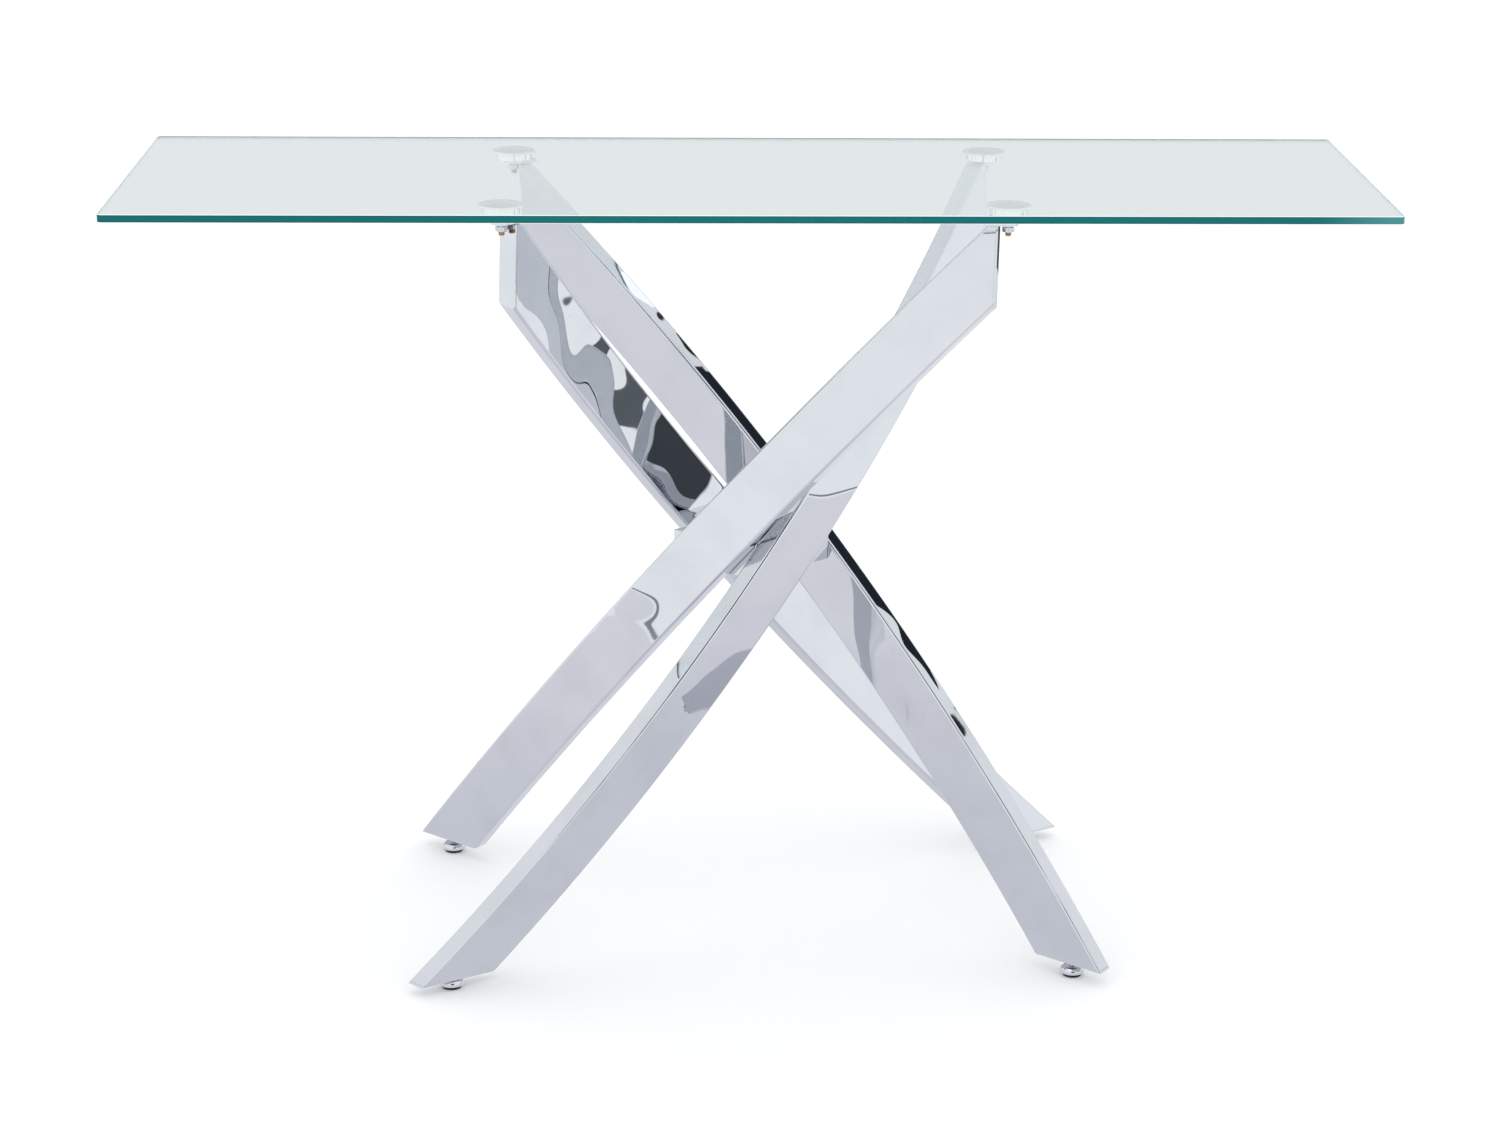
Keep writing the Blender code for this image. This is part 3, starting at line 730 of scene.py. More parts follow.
# ------------------------------------------------------------------ glass top
@dataclass
class GlassTop:
    """The clear sheet, with its arrised and polished edge."""

    corner: float = 0.005
    arris: float = 0.0007
    low: Vector = field(default_factory=lambda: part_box("glass_top")[0])
    high: Vector = field(default_factory=lambda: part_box("glass_top")[1])

    @property
    def thickness(self) -> float:
        """The sheet's thickness."""
        return self.high.z - self.low.z

    def mesh(self) -> bpy.types.Mesh:
        """Build the sheet.

        Returns:
            The mesh; faces carry 0 for the faces, 1 for the edge and 2 for the arrises.
        """
        bm = bmesh.new()
        size = self.high - self.low
        Shop.plate(bm, size.x, size.y, self.corner, 8)
        bmesh.ops.translate(bm, verts=bm.verts[:], vec=(0.0, 0.0, self.low.z))
        Shop.raised(bm, Vector((0.0, 0.0, size.z)))
        bmesh.ops.recalc_face_normals(bm, faces=bm.faces[:])
        for face in bm.faces:
            face.material_index = 0 if abs(face.normal.z) > 0.9 else 1
        rims = [edge for edge in bm.edges if abs(edge.verts[0].co.z - edge.verts[1].co.z) < 1e-6]
        made = bmesh.ops.bevel(bm, geom=rims, offset=self.arris, offset_type="OFFSET", segments=1,
                               profile=0.5, affect="EDGES", material=2)
        for face in made["faces"]:
            face.material_index = 2
        return Shop.finished(bm, "glass_sheet")

    def build(self) -> None:
        """Make the sheet and dress it."""
        faces = GlassFace("clear_glass", "glass", (0.930, 0.958, 0.955), 0.0,
                          fixed={"Transmission Weight": 1.0, "IOR": 1.50})
        # the lighter right end of the edge is painted light
        edge = GlassEdge("glass_edge", "glass", (0.0020, 0.135, 0.140), 0.12,
                         fixed={"Specular IOR Level": 0.12},
                         middle=(self.low.z + self.high.z) / 2, half=self.thickness / 2,
                         line=(0.002, 0.060, 0.062), pale=(0.09, 0.30, 0.30),
                         painted_light_at=self.high.x)
        arris = Finish("glass_arris", "glass", (0.80, 0.93, 0.92), 0.25)
        sheet = Shop.shown("glass_sheet", self.mesh(), faces, "table", "glass_top")
        for finish in (edge, arris):
            sheet.data.materials.append(finish.material())
        sheet.modifiers.clear()  # its faces are flat, so their normals need no weighting
        sheet.visible_shadow = False


# ------------------------------------------------------------------ legs
class Pair(Enum):
    """The two ways a leg runs. Half a turn about the upright axis gives its partner."""

    CLIMBING = "passes over the other pair"
    FALLING = "passes under the other pair"


@dataclass
class LegLine:
    """The arc that one leg of a pair is bent along."""

    pair: Pair
    names: tuple[tuple[str, str], tuple[str, str]]
    pad: tuple[float, float]
    foot: tuple[float, float, float]
    lug_reach: float
    width: float = 0.060
    depth: float = 0.020
    wall: float = 0.0015
    corner: float = 0.0030
    axis_drop: float = 0.047
    hub_reach: float = 0.0462
    pass_height: float = 0.5312
    pass_rise: float = 0.0135
    gap: float = 0.0003
    seam: float = 0.00004
    cap_depth: float = 0.0020
    plate_depth: float = 0.0020

    def __post_init__(self) -> None:
        """Work out the circle through pad, hub and foot."""
        top = heights("glass_top")[1]
        self.start = Vector((*self.pad, top - self.axis_drop))
        self.end = Vector(self.foot)
        run = (self.end - self.start).to_2d().normalized()
        outward = Vector((run.y, -run.x))
        if outward.y > 0:
            outward = -outward
        side = 1 if self.pair is Pair.CLIMBING else -1
        aside = outward * (self.hub_reach + self.depth / 2)
        middle = Vector((*aside, self.pass_height * top + side * self.pass_rise))
        first, whole = middle - self.start, self.end - self.start
        normal = first.cross(whole)
        self.centre = self.start + (normal.cross(first) * whole.length_squared
                                    + whole.cross(normal) * first.length_squared
                                    ) / (2 * normal.length_squared)
        self.radius = (self.start - self.centre).length
        self.start_axis = (self.start - self.centre).normalized()
        self.width_axis = normal.normalized()
        self.side_axis = self.width_axis.cross(self.start_axis)
        arm = self.end - self.centre
        self.sweep = math.atan2(arm.dot(self.side_axis), arm.dot(self.start_axis))
        if self.width_axis.z < 0:
            self.width_axis = -self.width_axis
        self.leg_top = heights("leg_tube_" + self.names[0][0])[1]
        self.lug_low, self.lug_high = heights("lug_" + self.names[0][0])
        along = self.tangent(0.0).to_2d().normalized()
        self.end_direction = Vector((-along.x, -along.y, 0.0))
        self.end_place = Vector((*self.pad, 0.0)) - self.end_direction * self.lug_reach

    def outward(self, angle: float) -> Vector:
        """Direction out of the bow at an angle along it."""
        return self.start_axis * math.cos(angle) + self.side_axis * math.sin(angle)

    def tangent(self, angle: float) -> Vector:
        """Direction along the leg, towards its foot."""
        direction = self.side_axis * math.cos(angle) - self.start_axis * math.sin(angle)
        return direction * math.copysign(1.0, self.sweep)

    def point(self, angle: float) -> Vector:
        """A point of the centre line."""
        return self.centre + self.outward(angle) * self.radius

    def angle_at(self, height: float) -> float:
        """Where the centre line passes a height.

        Args:
            height: above the floor.

        Returns:
            The angle along the arc.
        """
        low, high = 0.0, self.sweep
        for _ in range(50):
            half = (low + high) / 2
            if self.point(half).z > height:
                low = half
            else:
                high = half
        return (low + high) / 2

    def bar(self, shrink: float = 0.0, spare: float = 0.07, steps: int = 150,
            round_steps: int = 8) -> bmesh.types.BMesh:
        """The bent bar, longer than the leg at both ends.

        Args:
            shrink: how much smaller it is all round.
            spare: how much longer it is at each end.
            steps: facets along the arc.
            round_steps: facets in each corner.

        Returns:
            The bar.
        """
        extra = math.copysign(spare / self.radius, self.sweep)
        bm = bmesh.new()
        Shop.plate(bm, self.width - 2 * shrink, self.depth - 2 * shrink,
                   self.corner - shrink * 0.6, round_steps)
        first = self.outward(-extra)
        third = self.width_axis.cross(first)
        turn = Matrix((self.width_axis, first, third)).transposed().to_4x4()
        turn.translation = self.centre + first * self.radius
        bmesh.ops.transform(bm, matrix=turn, verts=bm.verts[:])
        axis = self.start_axis.cross(self.side_axis)
        bmesh.ops.spin(bm, geom=bm.faces[:] + bm.edges[:] + bm.verts[:], cent=self.centre,
                       axis=axis, angle=self.sweep + 2 * extra, steps=steps)
        bmesh.ops.recalc_face_normals(bm, faces=bm.faces[:])
        return bm


@dataclass
class Leg:
    """A bent tube with its welded end cap, foot plate and lug."""

    line: LegLine
    lug_hole: float = 0.0034
    lug_spare: float = 0.12
    stem_hole: float = 0.00325
    cap_edge: float = 0.0006
    plate_edge: float = 0.0005
    lug_edge: float = 0.0004
    short_steps: int = 40

    def tube(self, screws: list[tuple[Vector, Vector]], screw_hole: float,
             drill_length: float) -> bpy.types.Mesh:
        """The tube, cut to length and drilled.

        Args:
            screws: start and direction of each screw.
            screw_hole: the radius of its clearance hole.
            drill_length: how deep the holes are drilled.

        Returns:
            The tube.
        """
        line = self.line
        bm = line.bar()
        Shop.clipped(bm, line.end_place, line.end_direction)
        Shop.clipped(bm, Vector((0, 0, line.leg_top)), UP)
        Shop.clipped(bm, Vector((0, 0, line.foot[2] + line.plate_depth + line.seam)), -UP)
        hollow = Shop.finished(line.bar(shrink=line.wall, spare=0.09, steps=60, round_steps=4),
                               "hollow")
        drills = [Shop.rod(start, way, drill_length, screw_hole, "drill", 32)
                  for start, way in screws]
        return Shop.carved(Shop.finished(bm, "blank"), [hollow, *drills], "tube")

    def cap(self) -> bpy.types.Mesh:
        """The plate welded over the upright cut.

        Returns:
            The plate.
        """
        line = self.line
        bm = line.bar(steps=self.short_steps)
        inner = line.end_place + line.end_direction * line.seam
        outer = line.end_place + line.end_direction * (line.gap + line.cap_depth)
        Shop.clipped(bm, inner, -line.end_direction)
        Shop.clipped(bm, outer, line.end_direction)
        Shop.clipped(bm, Vector((0, 0, line.leg_top)), UP)
        return Shop.finished(bm, "cap")

    def foot_plate(self) -> bpy.types.Mesh:
        """The drilled plate under the level cut.

        Returns:
            The plate.
        """
        line = self.line
        bm = line.bar(steps=self.short_steps)
        Shop.clipped(bm, Vector((0, 0, line.foot[2])), -UP)
        Shop.clipped(bm, Vector((0, 0, line.foot[2] + line.plate_depth)), UP)
        drill = Shop.rod(Vector((line.foot[0], line.foot[1], 0.0)), UP, 0.05, self.stem_hole,
                         "drill")
        return Shop.carved(Shop.finished(bm, "blank"), [drill], "foot_plate")

    def lug(self) -> bpy.types.Mesh:
        """The bar over the cut top of the tube, with the hole for the stud.

        Returns:
            The bar.
        """
        line = self.line
        half = line.depth / 2
        bm = bmesh.new()
        bmesh.ops.create_cone(bm, cap_ends=True, segments=64, radius1=half, radius2=half,
                              depth=line.lug_high - line.lug_low)
        Shop.clipped(bm, Vector((0, 0, 0)), Vector((-1, 0, 0)))
        flat = [face for face in bm.faces if face.normal.x < -0.99]  # the cut, not the round
        pulled = bmesh.ops.extrude_face_region(bm, geom=flat)
        points = [item for item in pulled["geom"] if isinstance(item, bmesh.types.BMVert)]
        bmesh.ops.translate(bm, verts=points, vec=(-self.lug_spare, 0.0, 0.0))
        bmesh.ops.delete(bm, geom=flat, context="FACES")
        along = math.atan2(line.end_direction.y, line.end_direction.x)
        centre = Vector((*line.pad, (line.lug_low + line.lug_high) / 2))
        place = Matrix.Translation(centre) @ Matrix.Rotation(along, 4, "Z")
        bmesh.ops.transform(bm, matrix=place, verts=bm.verts[:])
        Shop.clipped(bm, line.centre + line.width_axis * (line.width / 2), line.width_axis)
        drill = Shop.rod(Vector((*line.pad, line.lug_low - 0.01)), UP, 0.03, self.lug_hole, "drill")
        return Shop.carved(Shop.finished(bm, "blank"), [drill], "lug")

    def build(self, screws: list[tuple[Vector, Vector]], screw_hole: float,
              drill_length: float) -> None:
        """Make both legs of the pair.

        Args:
            screws: start and direction of each hub screw of the first leg.
            screw_hole: the radius of its clearance hole.
            drill_length: how deep the holes are drilled.
        """
        tube, cap = self.tube(screws, screw_hole, drill_length), self.cap()
        plate, lug = self.foot_plate(), self.lug()
        for number, (top, floor) in enumerate(self.line.names):
            for name, mesh, finish, node, edge in (
                    ("leg_" + top, tube, CHROME, "leg_tube_" + top, 0.0),
                    ("cap_" + top, cap, CAP_CHROME, "end_cap_" + top, self.cap_edge),
                    ("plate_" + floor, plate, CHROME, "foot_plate_" + floor, self.plate_edge),
                    ("lug_bar_" + top, lug, HUB_CHROME, "lug_" + top, self.lug_edge)):
                Shop.shown(name, mesh, finish, "table", node, half_turn(number), edge)


# ------------------------------------------------------------------ hub
@dataclass
class HubSide:
    """One flat side of the hub, with the two screws that go through it."""

    normal: Vector
    level: Vector
    leg_middle: Vector
    depth: float
    wall: float
    pitch: float

    @classmethod
    def against(cls, line: LegLine, height: float, relief: float, wall: float,
                pitch: float) -> "HubSide":
        """The side that lies along a leg.

        Args:
            line: the leg's arc.
            height: the middle of the hub.
            relief: room for the leg's curve.
            wall: the hub's wall.
            pitch: the distance between the two screws.

        Returns:
            The side.
        """
        angle = line.angle_at(height)
        normal = line.outward(angle)
        return cls(normal, UP.cross(normal).normalized(), line.point(angle),
                   line.depth / 2 + line.gap + relief, wall, pitch)

    def turned(self) -> "HubSide":
        """The opposite side."""
        half = Matrix.Rotation(math.pi, 3, "Z")
        return HubSide(half @ self.normal, half @ self.level, half @ self.leg_middle, self.depth,
                       self.wall, self.pitch)

    @property
    def face_point(self) -> Vector:
        """A point of the side's outer face."""
        return self.leg_middle - self.normal * self.depth

    def screws(self) -> list[tuple[Vector, Vector]]:
        """Seat and direction of both screws."""
        inside = self.face_point - self.normal * self.wall
        return [(inside + self.level * way * self.pitch / 2, self.normal) for way in (-1, 1)]

    def seat(self, start: Vector) -> Matrix:
        """The matrix that stands a screw on its seat.

        Args:
            start: the middle of the seat.

        Returns:
            The matrix.
        """
        turn = Matrix((self.level, self.normal.cross(self.level), self.normal)).transposed()
        return Matrix.Translation(start) @ turn.to_4x4()


@dataclass
class Hub:
    """The hollow block in the middle, closed above and open below."""

    lines: list[LegLine]
    blank: float = 0.4
    wall: float = 0.0030
    relief: float = 0.0007
    corner: float = 0.0015
    edge: float = 0.0006
    pitch: float = 0.0240
    screw: float = 0.0030
    screw_hole: float = 0.0033
    head: float = 0.0050
    head_height: float = 0.0060
    head_gap: float = 0.0001
    socket_flats: float = 0.0050
    nut_plate: float = 0.0040
    reach_past: float = 0.0010
    leg_drill: float = 0.0063

    def __post_init__(self) -> None:
        """Find the hub's height and its four sides."""
        self.low, self.high = heights("hub")
        middle = (self.low + self.high) / 2
        self.own = [HubSide.against(line, middle, self.relief, self.wall, self.pitch)
                    for line in self.lines]
        first, second = self.own
        self.sides = [first, second.turned(), first.turned(), second]

    def block(self, low: float, high: float, inset: float, rounded: float) -> bpy.types.Mesh:
        """A block cut out of a cube by the four sides.

        Args:
            low: its underside.
            high: its top.
            inset: how far in from the hub's outer faces it lies.
            rounded: the radius of its upright corners.

        Returns:
            The block.
        """
        bm = bmesh.new()
        bmesh.ops.create_cube(bm, size=self.blank)
        bmesh.ops.translate(bm, verts=bm.verts[:], vec=(0.0, 0.0, (low + high) / 2))
        Shop.clipped(bm, Vector((0, 0, low)), -UP)
        Shop.clipped(bm, Vector((0, 0, high)), UP)
        for side in self.sides:
            Shop.clipped(bm, side.face_point - side.normal * inset, side.normal)
        if rounded:
            uprights = [edge for edge in bm.edges
                        if abs(edge.verts[0].co.z - edge.verts[1].co.z) > (high - low) * 0.9]
            bmesh.ops.bevel(bm, geom=uprights, offset=rounded, offset_type="OFFSET", segments=6,
                            profile=0.5, affect="EDGES", material=-1)
        return Shop.finished(bm, "block")

    def screw_mesh(self) -> bpy.types.Mesh:
        """A socket screw along +Z from the seat of its head.

        Returns:
            The screw.
        """
        line, soft = self.lines[0], self.edge
        grip = self.wall + self.relief + line.gap + line.wall + line.gap + self.nut_plate
        tip = grip + self.reach_past
        outline = [(0.0, -self.head_height), (self.head - soft, -self.head_height),
                   (self.head, soft - self.head_height), (self.head, -line.gap - self.head_gap),
                   (self.head - self.head_gap, -line.gap), (self.screw, -line.gap),
                   (self.screw, tip - soft), (self.screw - soft, tip), (0.0, tip)]
        blank = Shop.lathe(outline, "screw", 48)
        key = self.socket_flats / math.sqrt(3)
        bm = bmesh.new()
        bmesh.ops.create_cone(bm, cap_ends=True, segments=6, radius1=key, radius2=key, depth=0.006)
        bmesh.ops.translate(bm, verts=bm.verts[:], vec=(0, 0, -self.head_height))
        return Shop.carved(blank, [Shop.finished(bm, "socket")], "screw")

    def build(self) -> None:
        """Make the block and its screws."""
        blank = self.block(self.low, self.high, 0.0, self.corner)
        room = self.block(self.low - 0.02, self.high - self.wall, self.wall, 0.0)
        drills = [Shop.rod(start - way * self.wall, way, 3 * self.wall, self.screw_hole,
                           "drill", 32)
                  for side in self.sides for start, way in side.screws()]
        shell = Shop.carved(blank, [room, *drills], "hub_block")
        Shop.shown("hub_block", shell, HUB_CHROME, "table", "hub", edge=self.edge)
        screw = self.screw_mesh()
        for line, side in zip(self.lines, self.own):
            for number, (top, _) in enumerate(line.names):
                for end, (start, _) in zip(("upper", "lower"), side.screws()):
                    Shop.shown(f"screw_{top}_{end}", screw, ZINC, "table",
                               f"hub_screw_{top}_{end}", half_turn(number) @ side.seat(start))


# ------------------------------------------------------------------ pads and their hardware
@dataclass
class PadStack:
    """A glass pad with its stud, washer and nut, at one corner."""

    corner: str
    flange: float = 0.0210
    flange_depth: float = 0.0020
    soft: float = 0.0005
    body: float = 0.0175
    bore: float = 0.00325
    bore_depth: float = 0.0065
    stud: float = 0.0030
    groove: float = 0.00055
    pitch: float = 0.0010
    washer: float = 0.0060
    washer_hole: float = 0.0033
    nut_flats: float = 0.0050

    def __post_init__(self) -> None:
        """Read where the stack stands."""
        self.pad_low, self.pad_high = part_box("glass_pad_" + self.corner)
        middle = (self.pad_low + self.pad_high) / 2
        self.place = Vector((middle.x, middle.y, 0.0))

    def pad(self) -> bpy.types.Mesh:
        """The turned pad, with a softened flange and a bore from below.

        Returns:
            The pad.
        """
        top, low, soft = self.pad_high.z, self.pad_low.z, self.soft
        under = top - self.flange_depth
        outline = [(0.0, top), (self.flange - soft, top),
                   (self.flange - soft * 0.3, top - soft * 0.3), (self.flange, top - soft),
                   (self.flange, under + soft), (self.flange - soft * 0.3, under + soft * 0.3),
                   (self.flange - soft, under), (self.body + 0.0006, under),
                   (self.body, under - 0.0006), (self.body, low + 0.0010),
                   (self.body - 0.0003, low + 0.0003), (self.body - 0.0010, low),
                   (self.bore + 0.0005, low), (self.bore, low + 0.0005),
                   (self.bore, low + self.bore_depth), (0.0, low + self.bore_depth)]
        return Shop.lathe(outline, "pad", 128)

    def stud_mesh(self) -> bpy.types.Mesh:
        """The stud, grooved along its whole length.

        Returns:
            The stud.
        """
        low, high = heights("pad_stud_" + self.corner)
        root = self.stud - self.groove
        ridges = Shop.thread(low + 0.0004, high - 0.0003, root, self.stud, self.pitch)
        return Shop.lathe([(0.0, low), (root, low), *ridges, (root, high), (0.0, high)],
                          "stud", 40)

    def washer_mesh(self) -> bpy.types.Mesh:
        """The washer, with one rounded side as stamping leaves it.

        Returns:
            The washer.
        """
        low, high = heights("washer_" + self.corner)
        outer, inner = self.washer, self.washer_hole
        outline = [(outer, low + 0.0003), (outer, high - 0.0002), (outer - 0.0002, high),
                   (inner, high), (inner, low), (outer - 0.0003, low), (outer, low + 0.0003)]
        return Shop.lathe(outline, "washer", 72)

    def nut_mesh(self) -> bpy.types.Mesh:
        """The hexagon nut, chamfered on both ends.

        Returns:
            The nut.
        """
        low, high = heights("pad_nut_" + self.corner)
        corners, face = 2 * self.nut_flats / math.sqrt(3), self.nut_flats * 0.97
        bm = bmesh.new()
        bmesh.ops.create_cone(bm, cap_ends=True, segments=6, radius1=corners, radius2=corners,
                              depth=high - low)
        bmesh.ops.rotate(bm, cent=(0, 0, 0), matrix=Matrix.Rotation(math.pi / 2, 3, "Z"),
                         verts=bm.verts[:])
        bmesh.ops.translate(bm, verts=bm.verts[:], vec=(0, 0, (low + high) / 2))
        slope = (corners - face) * math.tan(math.radians(30))
        outline = [(0.0, low), (face, low), (corners, low + slope), (corners, high - slope),
                   (face, high), (0.0, high)]
        blank = Shop.carved(Shop.finished(bm, "nut"), [Shop.lathe(outline, "cone", 96)], "nut",
                            Cut.COMMON)
        funnel = [(0.0, low - 0.001), (0.0040, low - 0.001), (self.bore, low + 0.0004),
                  (self.bore, high - 0.0004), (0.0040, high + 0.001), (0.0, high + 0.001)]
        return Shop.carved(blank, [Shop.lathe(funnel, "funnel", 48)], "nut")

    def build(self) -> None:
        """Make the stack."""
        satin = Turned("satin_" + self.corner, "satin", (0.84, 0.87, 0.87), 0.12, 1.0,
                       centre=(self.place.x, self.place.y))
        for name, mesh, finish, node in (
                ("pad_", self.pad(), satin, "glass_pad_"),
                ("stud_", self.stud_mesh(), YELLOW_ZINC, "pad_stud_"),
                ("plain_washer_", self.washer_mesh(), ZINC, "washer_"),
                ("nut_", self.nut_mesh(), ZINC, "pad_nut_")):
            Shop.shown(name + self.corner, mesh, finish, "table", node + self.corner,
                       Matrix.Translation(self.place))


# ------------------------------------------------------------------ levelling feet
@dataclass
class LevellingFoot:
    """A domed cup on a threaded stem, with its plastic pad."""

    corner: str
    cup: float = 0.0120
    soft: float = 0.0006
    dome_steps: int = 16
    cup_low: float = 0.0036
    rim: float = 0.0016
    neck: float = 0.0065
    dome_top: float = 0.0102
    stem: float = 0.0030
    recess: float = 0.0068
    recess_depth: float = 0.0033
    pad: float = 0.0092
    play: float = 0.0003
    pitch: float = 0.0010
    groove: float = 0.0005

    def __post_init__(self) -> None:
        """Read where the foot stands."""
        low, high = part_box("foot_cup_" + self.corner)
        middle = (low + high) / 2
        self.place = Vector((middle.x, middle.y, 0.0))
        self.stem_top = high.z

    def cup_mesh(self) -> bpy.types.Mesh:
        """The spun cup with its grooved stem, hollow below.

        Returns:
            The cup.
        """
        rim_top = self.cup_low + self.rim
        roof = self.cup_low + self.recess_depth
        outline = [(0.0, roof), (self.recess, roof), (self.recess, self.cup_low),
                   (self.cup - self.soft, self.cup_low),
                   (self.cup - self.soft * 0.3, self.cup_low + self.soft * 0.3),
                   (self.cup, self.cup_low + self.soft), (self.cup, rim_top)]
        for step in range(1, self.dome_steps + 1):
            angle = math.pi / 2 * step / self.dome_steps
            outline.append((self.neck + (self.cup - self.neck) * math.cos(angle),
                            rim_top + (self.dome_top - rim_top) * math.sin(angle)))
        root = self.stem - self.groove
        ridges = Shop.thread(self.dome_top + 0.0003, self.stem_top - 0.0005, root, self.stem,
                             self.pitch)
        outline += [(root, self.dome_top), *ridges, (root, self.stem_top), (0.0, self.stem_top)]
        return Shop.lathe(outline, "cup", 96)

    def pad_mesh(self) -> bpy.types.Mesh:
        """The plastic pad, with a softened tread and its plug.

        Returns:
            The pad.
        """
        shoulder = self.cup_low - self.play
        plug = self.recess - self.play
        top = self.cup_low + self.recess_depth - self.play
        outline = [(0.0, 0.0), (self.pad - 0.0009, 0.0), (self.pad - 0.00026, 0.00026),
                   (self.pad, 0.0009), (self.pad, shoulder - 0.0003),
                   (self.pad - 0.0003, shoulder), (plug, shoulder), (plug, top), (0.0, top)]
        return Shop.lathe(outline, "tread", 96)

    def build(self) -> None:
        """Make the foot."""
        for name, mesh, finish, node in (
                ("cup_", self.cup_mesh(), FOOT_CHROME, "foot_cup_"),
                ("tread_", self.pad_mesh(), BLACK_PLASTIC, "foot_pad_")):
            Shop.shown(name + self.corner, mesh, finish, "foot_" + self.corner,
                       node + self.corner, Matrix.Translation(self.place))


# ------------------------------------------------------------------ studio
@dataclass(frozen=True)
class Card:
    """A sheet that only reflections see. A middle colour fades out away from the table."""

    name: str
    centre: Triple
    facing: Triple
    size: tuple[float, float]
    colour: Colour
    middle: Colour | None = None
    fade: tuple[float, float] = (0.25, 0.85)

    def paint(self) -> bpy.types.Material:
        """The material, which shines evenly.

        Returns:
            The material.
        """
        material = bpy.data.materials.new(self.name)
        material.use_nodes = True
        tree = material.node_tree
        tree.nodes.clear()
        paper = Paper(tree)
        tone = self.colour
        if self.middle is not None:
            far = paper.node("ShaderNodeVectorMath", {"operation": "LENGTH"}, {0: paper.place()},
                             "Value")
            tone = paper.mix(far.ramp(*self.fade), self.middle, self.colour)
        light = paper.node("ShaderNodeEmission", {}, {"Color": tone, "Strength": 1.0})
        output = tree.nodes.new("ShaderNodeOutputMaterial")
        tree.links.new(light.socket, output.inputs["Surface"])
        return material

    def build(self) -> None:
        """Hang the card."""
        bm = bmesh.new()
        bmesh.ops.create_grid(bm, x_segments=1, y_segments=1, size=0.5)
        bmesh.ops.scale(bm, vec=(*self.size, 1.0), verts=bm.verts[:])
        turn = Vector(self.facing).to_track_quat("Z", "Y").to_matrix().to_4x4()
        bmesh.ops.transform(bm, matrix=Matrix.Translation(self.centre) @ turn, verts=bm.verts[:])
        mesh = Shop.finished(bm, self.name)
        mesh.materials.append(self.paint())
        card = bpy.data.objects.new(self.name, mesh)
        bpy.context.scene.collection.objects.link(card)
        card.visible_camera = False
        card.visible_diffuse = False
        card.visible_transmission = False
        card.visible_shadow = False
        card.visible_volume_scatter = False


SKIRTING_REACH = 1.22
CARDS = (
    Card("dark_behind_camera", (0.6, -4.7, 2.6), (0.0, 1.0, -0.2), (2.6, 3.0),
         (0.010, 0.012, 0.015)),
    Card("dark_right", (2.6, 1.62, 2.08), (-1.0, 0.0, 0.0), (0.62, 1.06), (0.020, 0.026, 0.034)),
    Card("bright_right", (2.6, 2.35, 3.2), (-1.0, 0.0, 0.0), (0.8, 1.1), (1.45, 1.49, 1.51)),
    Card("grey_right", (2.3, -0.05, 0.16), (-1.0, 0.0, 0.0), (0.5, 0.32), (0.13, 0.15, 0.16)),
    Card("dark_back", (0.15, 2.9, 0.52), (0.0, -1.0, 0.0), (2.6, 1.04), (0.085, 0.100, 0.110)),
    *(Card(f"skirting_{number}", (SKIRTING_REACH * across, SKIRTING_REACH * along, 0.004),
           (-across, -along, 0.0), (2 * SKIRTING_REACH, 0.008), (0.30, 0.31, 0.33))
      for number, (across, along) in enumerate(((0, -1), (1, 0), (0, 1), (-1, 0)))),
    Card("bright_ground", (0.0, 0.0, 0.0002), (0.0, 0.0, 1.0), (3.4, 3.4), (1.12, 1.16, 1.16)),
    Card("shaded_ground", (0.0, 0.0, 0.0003), (0.0, 0.0, 1.0), (2.4, 2.5), (0.95, 0.955, 1.0),
         (0.80, 0.82, 0.87)),
    Card("softbox", (-0.6, -0.6, 2.6), (0.1, 0.1, -1.0), (1.6, 1.2), (1.9, 1.9, 1.95)),
)


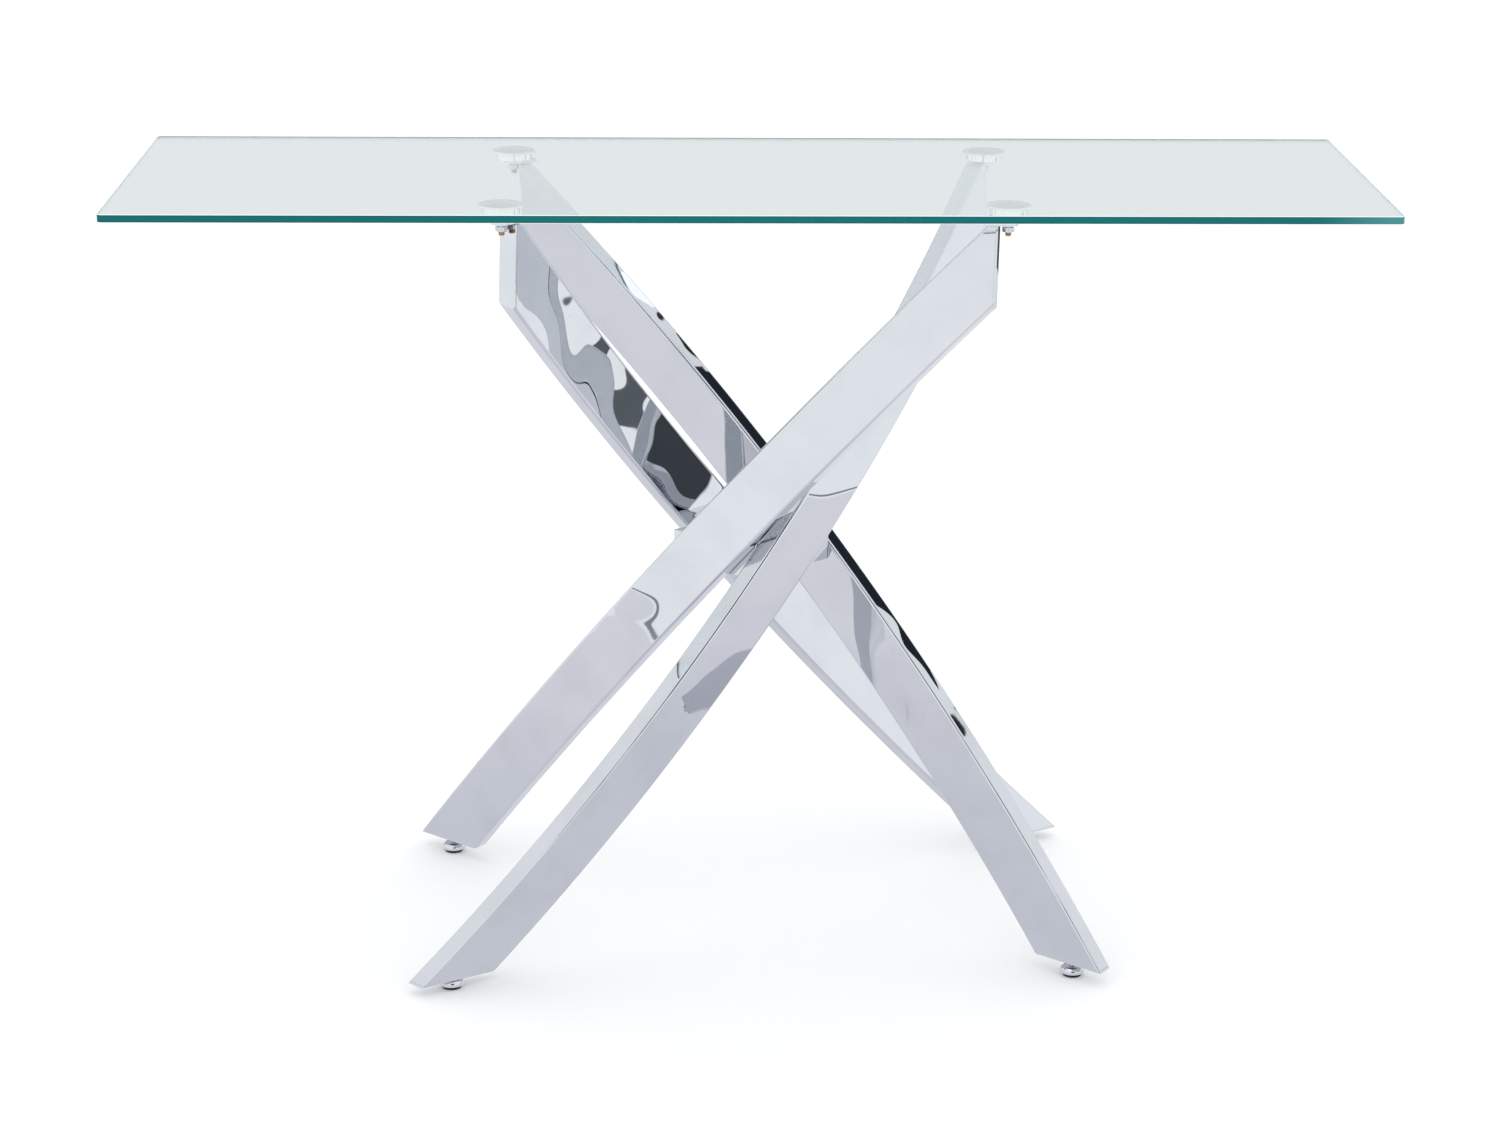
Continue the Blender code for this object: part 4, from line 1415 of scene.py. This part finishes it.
@dataclass
class Studio:
    """Pale floor, even light from all round, and the cards that the chrome mirrors."""

    eye: Triple = (-0.0763, -3.3496, 1.4088)
    heading: float = 0.0581
    dip: float = 0.2908
    lean: float = 0.0132
    lens: float = 83.82
    sensor: float = 36.0
    shift: tuple[float, float] = (-0.0799, -0.0187)
    light: float = 1.12
    wall_low: Colour = (1.14, 1.18, 1.18)
    wall_high: Colour = (1.0, 1.03, 1.05)
    wall_behind: Colour = (0.80, 0.83, 0.84)
    floor_half: float = 1.7
    floor_colour: Colour = (0.955, 0.957, 0.965)

    def camera(self) -> None:
        """Stand the camera in front of the table, slightly above it."""
        ahead = Vector((math.sin(self.heading) * math.cos(self.dip),
                        math.cos(self.heading) * math.cos(self.dip), -math.sin(self.dip)))
        level = Vector((math.cos(self.heading), -math.sin(self.heading), 0.0))
        above = level.cross(ahead)
        right = level * math.cos(self.lean) + above * math.sin(self.lean)
        top = above * math.cos(self.lean) - level * math.sin(self.lean)
        data = bpy.data.cameras.new("camera")
        data.sensor_width = self.sensor
        data.lens = self.lens
        data.shift_x, data.shift_y = self.shift
        camera = bpy.data.objects.new("camera", data)
        bpy.context.scene.collection.objects.link(camera)
        camera.matrix_world = Matrix.Translation(self.eye) @ Matrix(
            (right, top, -ahead)).transposed().to_4x4()
        bpy.context.scene.camera = camera

    def world(self) -> None:
        """Even white light, with a structured surround for reflections only."""
        world = bpy.data.worlds.new("studio")
        world.use_nodes = True
        bpy.context.scene.world = world
        tree = world.node_tree
        tree.nodes.clear()
        paper = Paper(tree)
        even = paper.node("ShaderNodeBackground", {},
                          {"Color": (1.0, 1.0, 1.0), "Strength": self.light})
        way = paper.node("ShaderNodeTexCoord", {}, {}, "Generated")
        height = paper.node("ShaderNodeSeparateXYZ", {}, {0: way}, "Z")
        behind = paper.node("ShaderNodeSeparateXYZ", {}, {0: way}, "Y").ramp(0.3, 0.9)
        wall = paper.mix(height.ramp(-0.2, 0.9), self.wall_low, self.wall_high)
        wall = paper.mix(behind * height.ramp(0.8, 0.5), wall, self.wall_behind)
        seen = paper.node("ShaderNodeBackground", {}, {"Color": wall, "Strength": 1.0})
        glossy = paper.node("ShaderNodeLightPath", {}, {}, "Is Glossy Ray")
        both = paper.node("ShaderNodeMixShader", {}, {0: glossy, 1: even, 2: seen})
        output = tree.nodes.new("ShaderNodeOutputWorld")
        tree.links.new(both.socket, output.inputs["Surface"])

    def floor(self) -> None:
        """The pale floor, clear from below so that the underside can be looked at."""
        bm = bmesh.new()
        bmesh.ops.create_grid(bm, x_segments=1, y_segments=1, size=self.floor_half)
        mesh = Shop.finished(bm, "floor")
        material = bpy.data.materials.new("floor")
        material.use_nodes = True
        paper = Paper(material.node_tree)
        shader = material.node_tree.nodes["Principled BSDF"]
        paper.set(shader, "Base Color", self.floor_colour)
        paper.set(shader, "Roughness", 0.9)
        paper.set(shader, "Specular IOR Level", 0.1)
        below = paper.node("ShaderNodeNewGeometry", {}, {}, "Backfacing")
        clear = paper.node("ShaderNodeBsdfTransparent", {}, {})
        seen = paper.node("ShaderNodeMixShader", {}, {0: below, 1: Wire(paper, shader.outputs[0]),
                                                      2: clear})
        output = material.node_tree.nodes["Material Output"]
        material.node_tree.links.new(seen.socket, output.inputs["Surface"])
        mesh.materials.append(material)
        floor = bpy.data.objects.new("floor", mesh)
        bpy.context.scene.collection.objects.link(floor)

    def build(self) -> None:
        """Set everything up."""
        self.camera()
        self.world()
        self.floor()
        for card in CARDS:
            card.build()
        settings = bpy.context.scene.view_settings
        settings.view_transform = "Standard"
        settings.look = "None"


# ------------------------------------------------------------------ the table
def dress_hidden() -> None:
    """Give the steel inside the tubes its finish."""
    for name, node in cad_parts.items():
        if name.startswith(("weld_nut_", "nut_plate_")):
            for place in node.material_slots:
                place.material = BARE_STEEL.material()


def main() -> None:
    """Build the table, then the studio round it."""
    logging.basicConfig(level=logging.INFO, format="%(message)s")
    lines = [
        LegLine(Pair.CLIMBING, (("front_right", "rear_left"), ("rear_left", "front_right")),
                pad=(0.237, -0.138), foot=(-0.315, 0.172, 0.0150), lug_reach=0.0115),
        LegLine(Pair.FALLING, (("rear_right", "front_left"), ("front_left", "rear_right")),
                pad=(0.237, 0.138), foot=(-0.296, -0.186, 0.0105), lug_reach=0.0095),
    ]
    hub = Hub(lines)
    GlassTop().build()
    for line, side in zip(lines, hub.own):
        Leg(line).build(side.screws(), hub.screw_hole, hub.leg_drill)
    hub.build()
    for corner in ("front_left", "front_right", "rear_left", "rear_right"):
        PadStack(corner).build()
        LevellingFoot(corner).build()
    dress_hidden()
    Studio().build()


if __name__ == "__main__":
    main()
